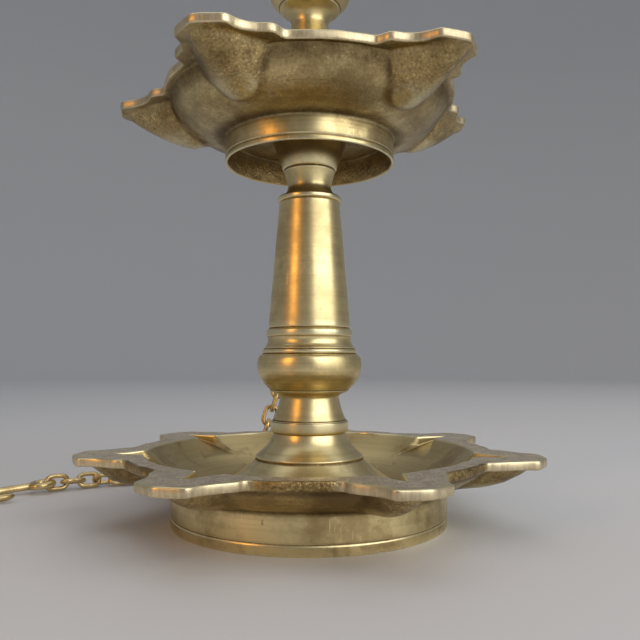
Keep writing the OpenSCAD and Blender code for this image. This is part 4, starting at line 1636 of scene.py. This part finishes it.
@dataclass
class Studio:
    """Pale floor that sweeps up into a backdrop, soft lights and the camera."""

    floor_in_r: float = 1 * MM
    floor_mid_r: float = 0.6
    floor_r: float = 1.7
    sweep_r: float = 1.1
    wall_z: float = 3.4
    lens: float = 37.75
    sensor: float = 36.0
    clip_start: float = 10 * MM
    camera_at: tuple[float, float, float] = (3.94 * MM, -251.04 * MM, 58.59 * MM)
    camera_tilt_deg: float = 93.306
    look_at: tuple[float, float, float] = (0.0, 0.0, 0.11)
    floor_colour: Colour = (0.70, 0.70, 0.71, 1)
    floor_rough: float = 0.55
    surround: Colour = (0.28, 0.29, 0.31, 1)
    floor_segments: int = 96
    sweep_steps: int = 16

    def camera(self) -> None:
        """Puts the camera where the photograph was taken."""
        data = bpy.data.cameras.new("camera")
        data.lens, data.sensor_width = self.lens, self.sensor
        data.clip_start = self.clip_start
        camera = bpy.data.objects.new("camera", data)
        camera.location = self.camera_at
        camera.rotation_euler = (math.radians(self.camera_tilt_deg), 0, 0)
        bpy.context.scene.collection.objects.link(camera)
        bpy.context.scene.camera = camera

    def floor(self) -> None:
        """Makes the floor, flat under the lamp and swept up far away from it."""
        angles = full_turn(self.floor_segments)
        turns = np.linspace(0, math.pi / 2, self.sweep_steps)
        outline = [(self.floor_in_r, 0.0), (self.floor_mid_r, 0.0)]
        outline += [(self.floor_r + self.sweep_r * math.sin(t), self.sweep_r * (1 - math.cos(t))) for t in turns]
        outline.append((self.floor_r + self.sweep_r, self.wall_z))
        grid = RingGrid()
        for radius, height in outline:
            grid.add(circle(radius, height, angles))
        floor = grid.build("floor")
        paint = bpy.data.materials.new("floor_paint")
        paint.use_nodes = True
        shader = paint.node_tree.nodes["Principled BSDF"]
        shader.inputs["Base Color"].default_value = self.floor_colour
        shader.inputs["Roughness"].default_value = self.floor_rough
        floor.data.materials.append(paint)

    def light(self, name: str, place: tuple, size: tuple, power: float, colour: tuple,
              spread_deg: float = 180.0) -> None:
        """Adds a soft rectangular light that faces the lamp.

        Args:
            name: Name of the light.
            place: Position.
            size: Width and height.
            power: Power in watts.
            colour: Colour of the light.
            spread_deg: Angle over which it shines.
        """
        data = bpy.data.lights.new(name, "AREA")
        data.shape = "RECTANGLE"
        data.size, data.size_y = size
        data.energy, data.color = power, colour
        data.spread = math.radians(spread_deg)
        light = bpy.data.objects.new(name, data)
        light.location = place
        light.rotation_euler = (Vector(self.look_at) - Vector(place)).to_track_quat("-Z", "Y").to_euler()
        light.visible_camera = False
        bpy.context.scene.collection.objects.link(light)

    def build(self) -> None:
        """Makes the camera, the floor, the pale surround and the lights."""
        self.camera()
        self.floor()
        world = bpy.data.worlds.new("surround")
        bpy.context.scene.world = world
        world.use_nodes = True
        world.node_tree.nodes["Background"].inputs["Color"].default_value = self.surround
        self.light("window", (0.80, -0.78, 0.62), (1.4, 1.1), 11, (1.0, 0.985, 0.95))
        self.light("warm_strip", (-0.84, -0.75, 0.52), (0.24, 0.72), 0.27, (1.0, 0.46, 0.06), 60.0)
        self.light("overhead", (0.1, 0.15, 1.7), (2.2, 2.2), 7, (1.0, 1.0, 1.0))


def lower_bowl() -> CastBowl:
    """Gives the lower bowl its sizes.

    Returns:
        The bowl, with seven spouts.
    """
    spout = Spout(tip_r=84 * MM, shoulder_r=69.6 * MM, shoulder_half=15.8 * MM, nose_half=9.4 * MM,
                  nose_depth=3 * MM, scoop=0.55, keel_half=11.5 * MM, keel_in_r=50.8 * MM, keel_end_r=78.5 * MM,
                  keel_depth=9.9 * MM, keel_fall=0.15, keel_round=2, keel_foot=0.9, keel_power=3, wick_l=12 * MM)
    return CastBowl(name="lower_bowl", node="base_bowl", spouts=7, first_deg=22.9, spout=spout, foot_r=50 * MM,
                    foot_wall=4 * MM, foot_lip=3 * MM, foot_z=0.0, foot_top_z=13 * MM, line_z=3.6 * MM,
                    under_z=8.5 * MM, floor_z=12.5 * MM, floor_r=35 * MM, rim_r=66.5 * MM, rim_w=7 * MM,
                    rim_z=25.3 * MM, overhang=1.2 * MM, belly=(58.5 * MM, 17.2 * MM), lean_in=10 * MM, gap_steps=8,
                    gap_cast=1.0, chips_deg=(-18.0, 9.0, 13.5, 27.0, 96.0, 171.0, 250.0), tip_more=(0.0,) * 7,
                    keel_share=(1.0, 0.9, 1.0, 0.95, 1.0, 1.0, 0.85), seed=3.0)


def upper_bowl() -> CastBowl:
    """Gives the upper bowl its sizes.

    Returns:
        The bowl, with five spouts.
    """
    spout = Spout(tip_r=72 * MM, shoulder_r=59.4 * MM, shoulder_half=19 * MM, nose_half=9.8 * MM,
                  nose_depth=4.5 * MM, scoop=0.3, keel_half=13.5 * MM, keel_in_r=47 * MM, keel_end_r=69.5 * MM,
                  keel_depth=13.6 * MM, keel_fall=0.5, keel_round=2, keel_foot=1.0, keel_power=2, wick_l=13 * MM)
    return CastBowl(name="upper_bowl_casting", node="upper_bowl", spouts=5, first_deg=44, spout=spout,
                    foot_r=31.7 * MM, foot_wall=2.4 * MM, foot_lip=1 * MM, foot_z=131.7 * MM, foot_top_z=140.8 * MM,
                    line_z=133.6 * MM, under_z=141.2 * MM, floor_z=145.2 * MM, floor_r=26 * MM, rim_r=54.3 * MM,
                    rim_w=7 * MM, rim_z=158 * MM, overhang=2 * MM, belly=(47.8 * MM, 142.4 * MM),
                    lean_in=2.5 * MM, gap_steps=12, gap_cast=0.0, chips_deg=(62.0, 140.0),
                    tip_more=(0.5 * MM, -1 * MM, 0.0, 5 * MM, 0.0),
                    keel_share=(1.0, 0.86, 1.0, 1.03, 1.0), seed=17.0)


def main() -> None:
    """Builds the lamp and the studio round it."""
    logging.basicConfig(level=logging.INFO, format="%(name)s: %(message)s")
    noise.seed_set(NOISE_SEED)
    bpy.context.scene.view_settings.view_transform = "Standard"
    Studio().build()
    effects = Effects()
    cast, turned = CAST_BRASS.material(effects), TURNED_BRASS.material(effects)
    wire, nut = WIRE_BRASS.material(effects), NUT_BRASS.material(effects)
    lower_bowl().build(cast)
    upper_bowl().build(cast)
    Stem().build(turned)
    Chain().build(wire)
    frame["nodes"]["base_nut"].material_slots[0].material = nut
    log.info("base_nut keeps its solid and gets %s", nut.name)


if __name__ == "__main__":
    main()
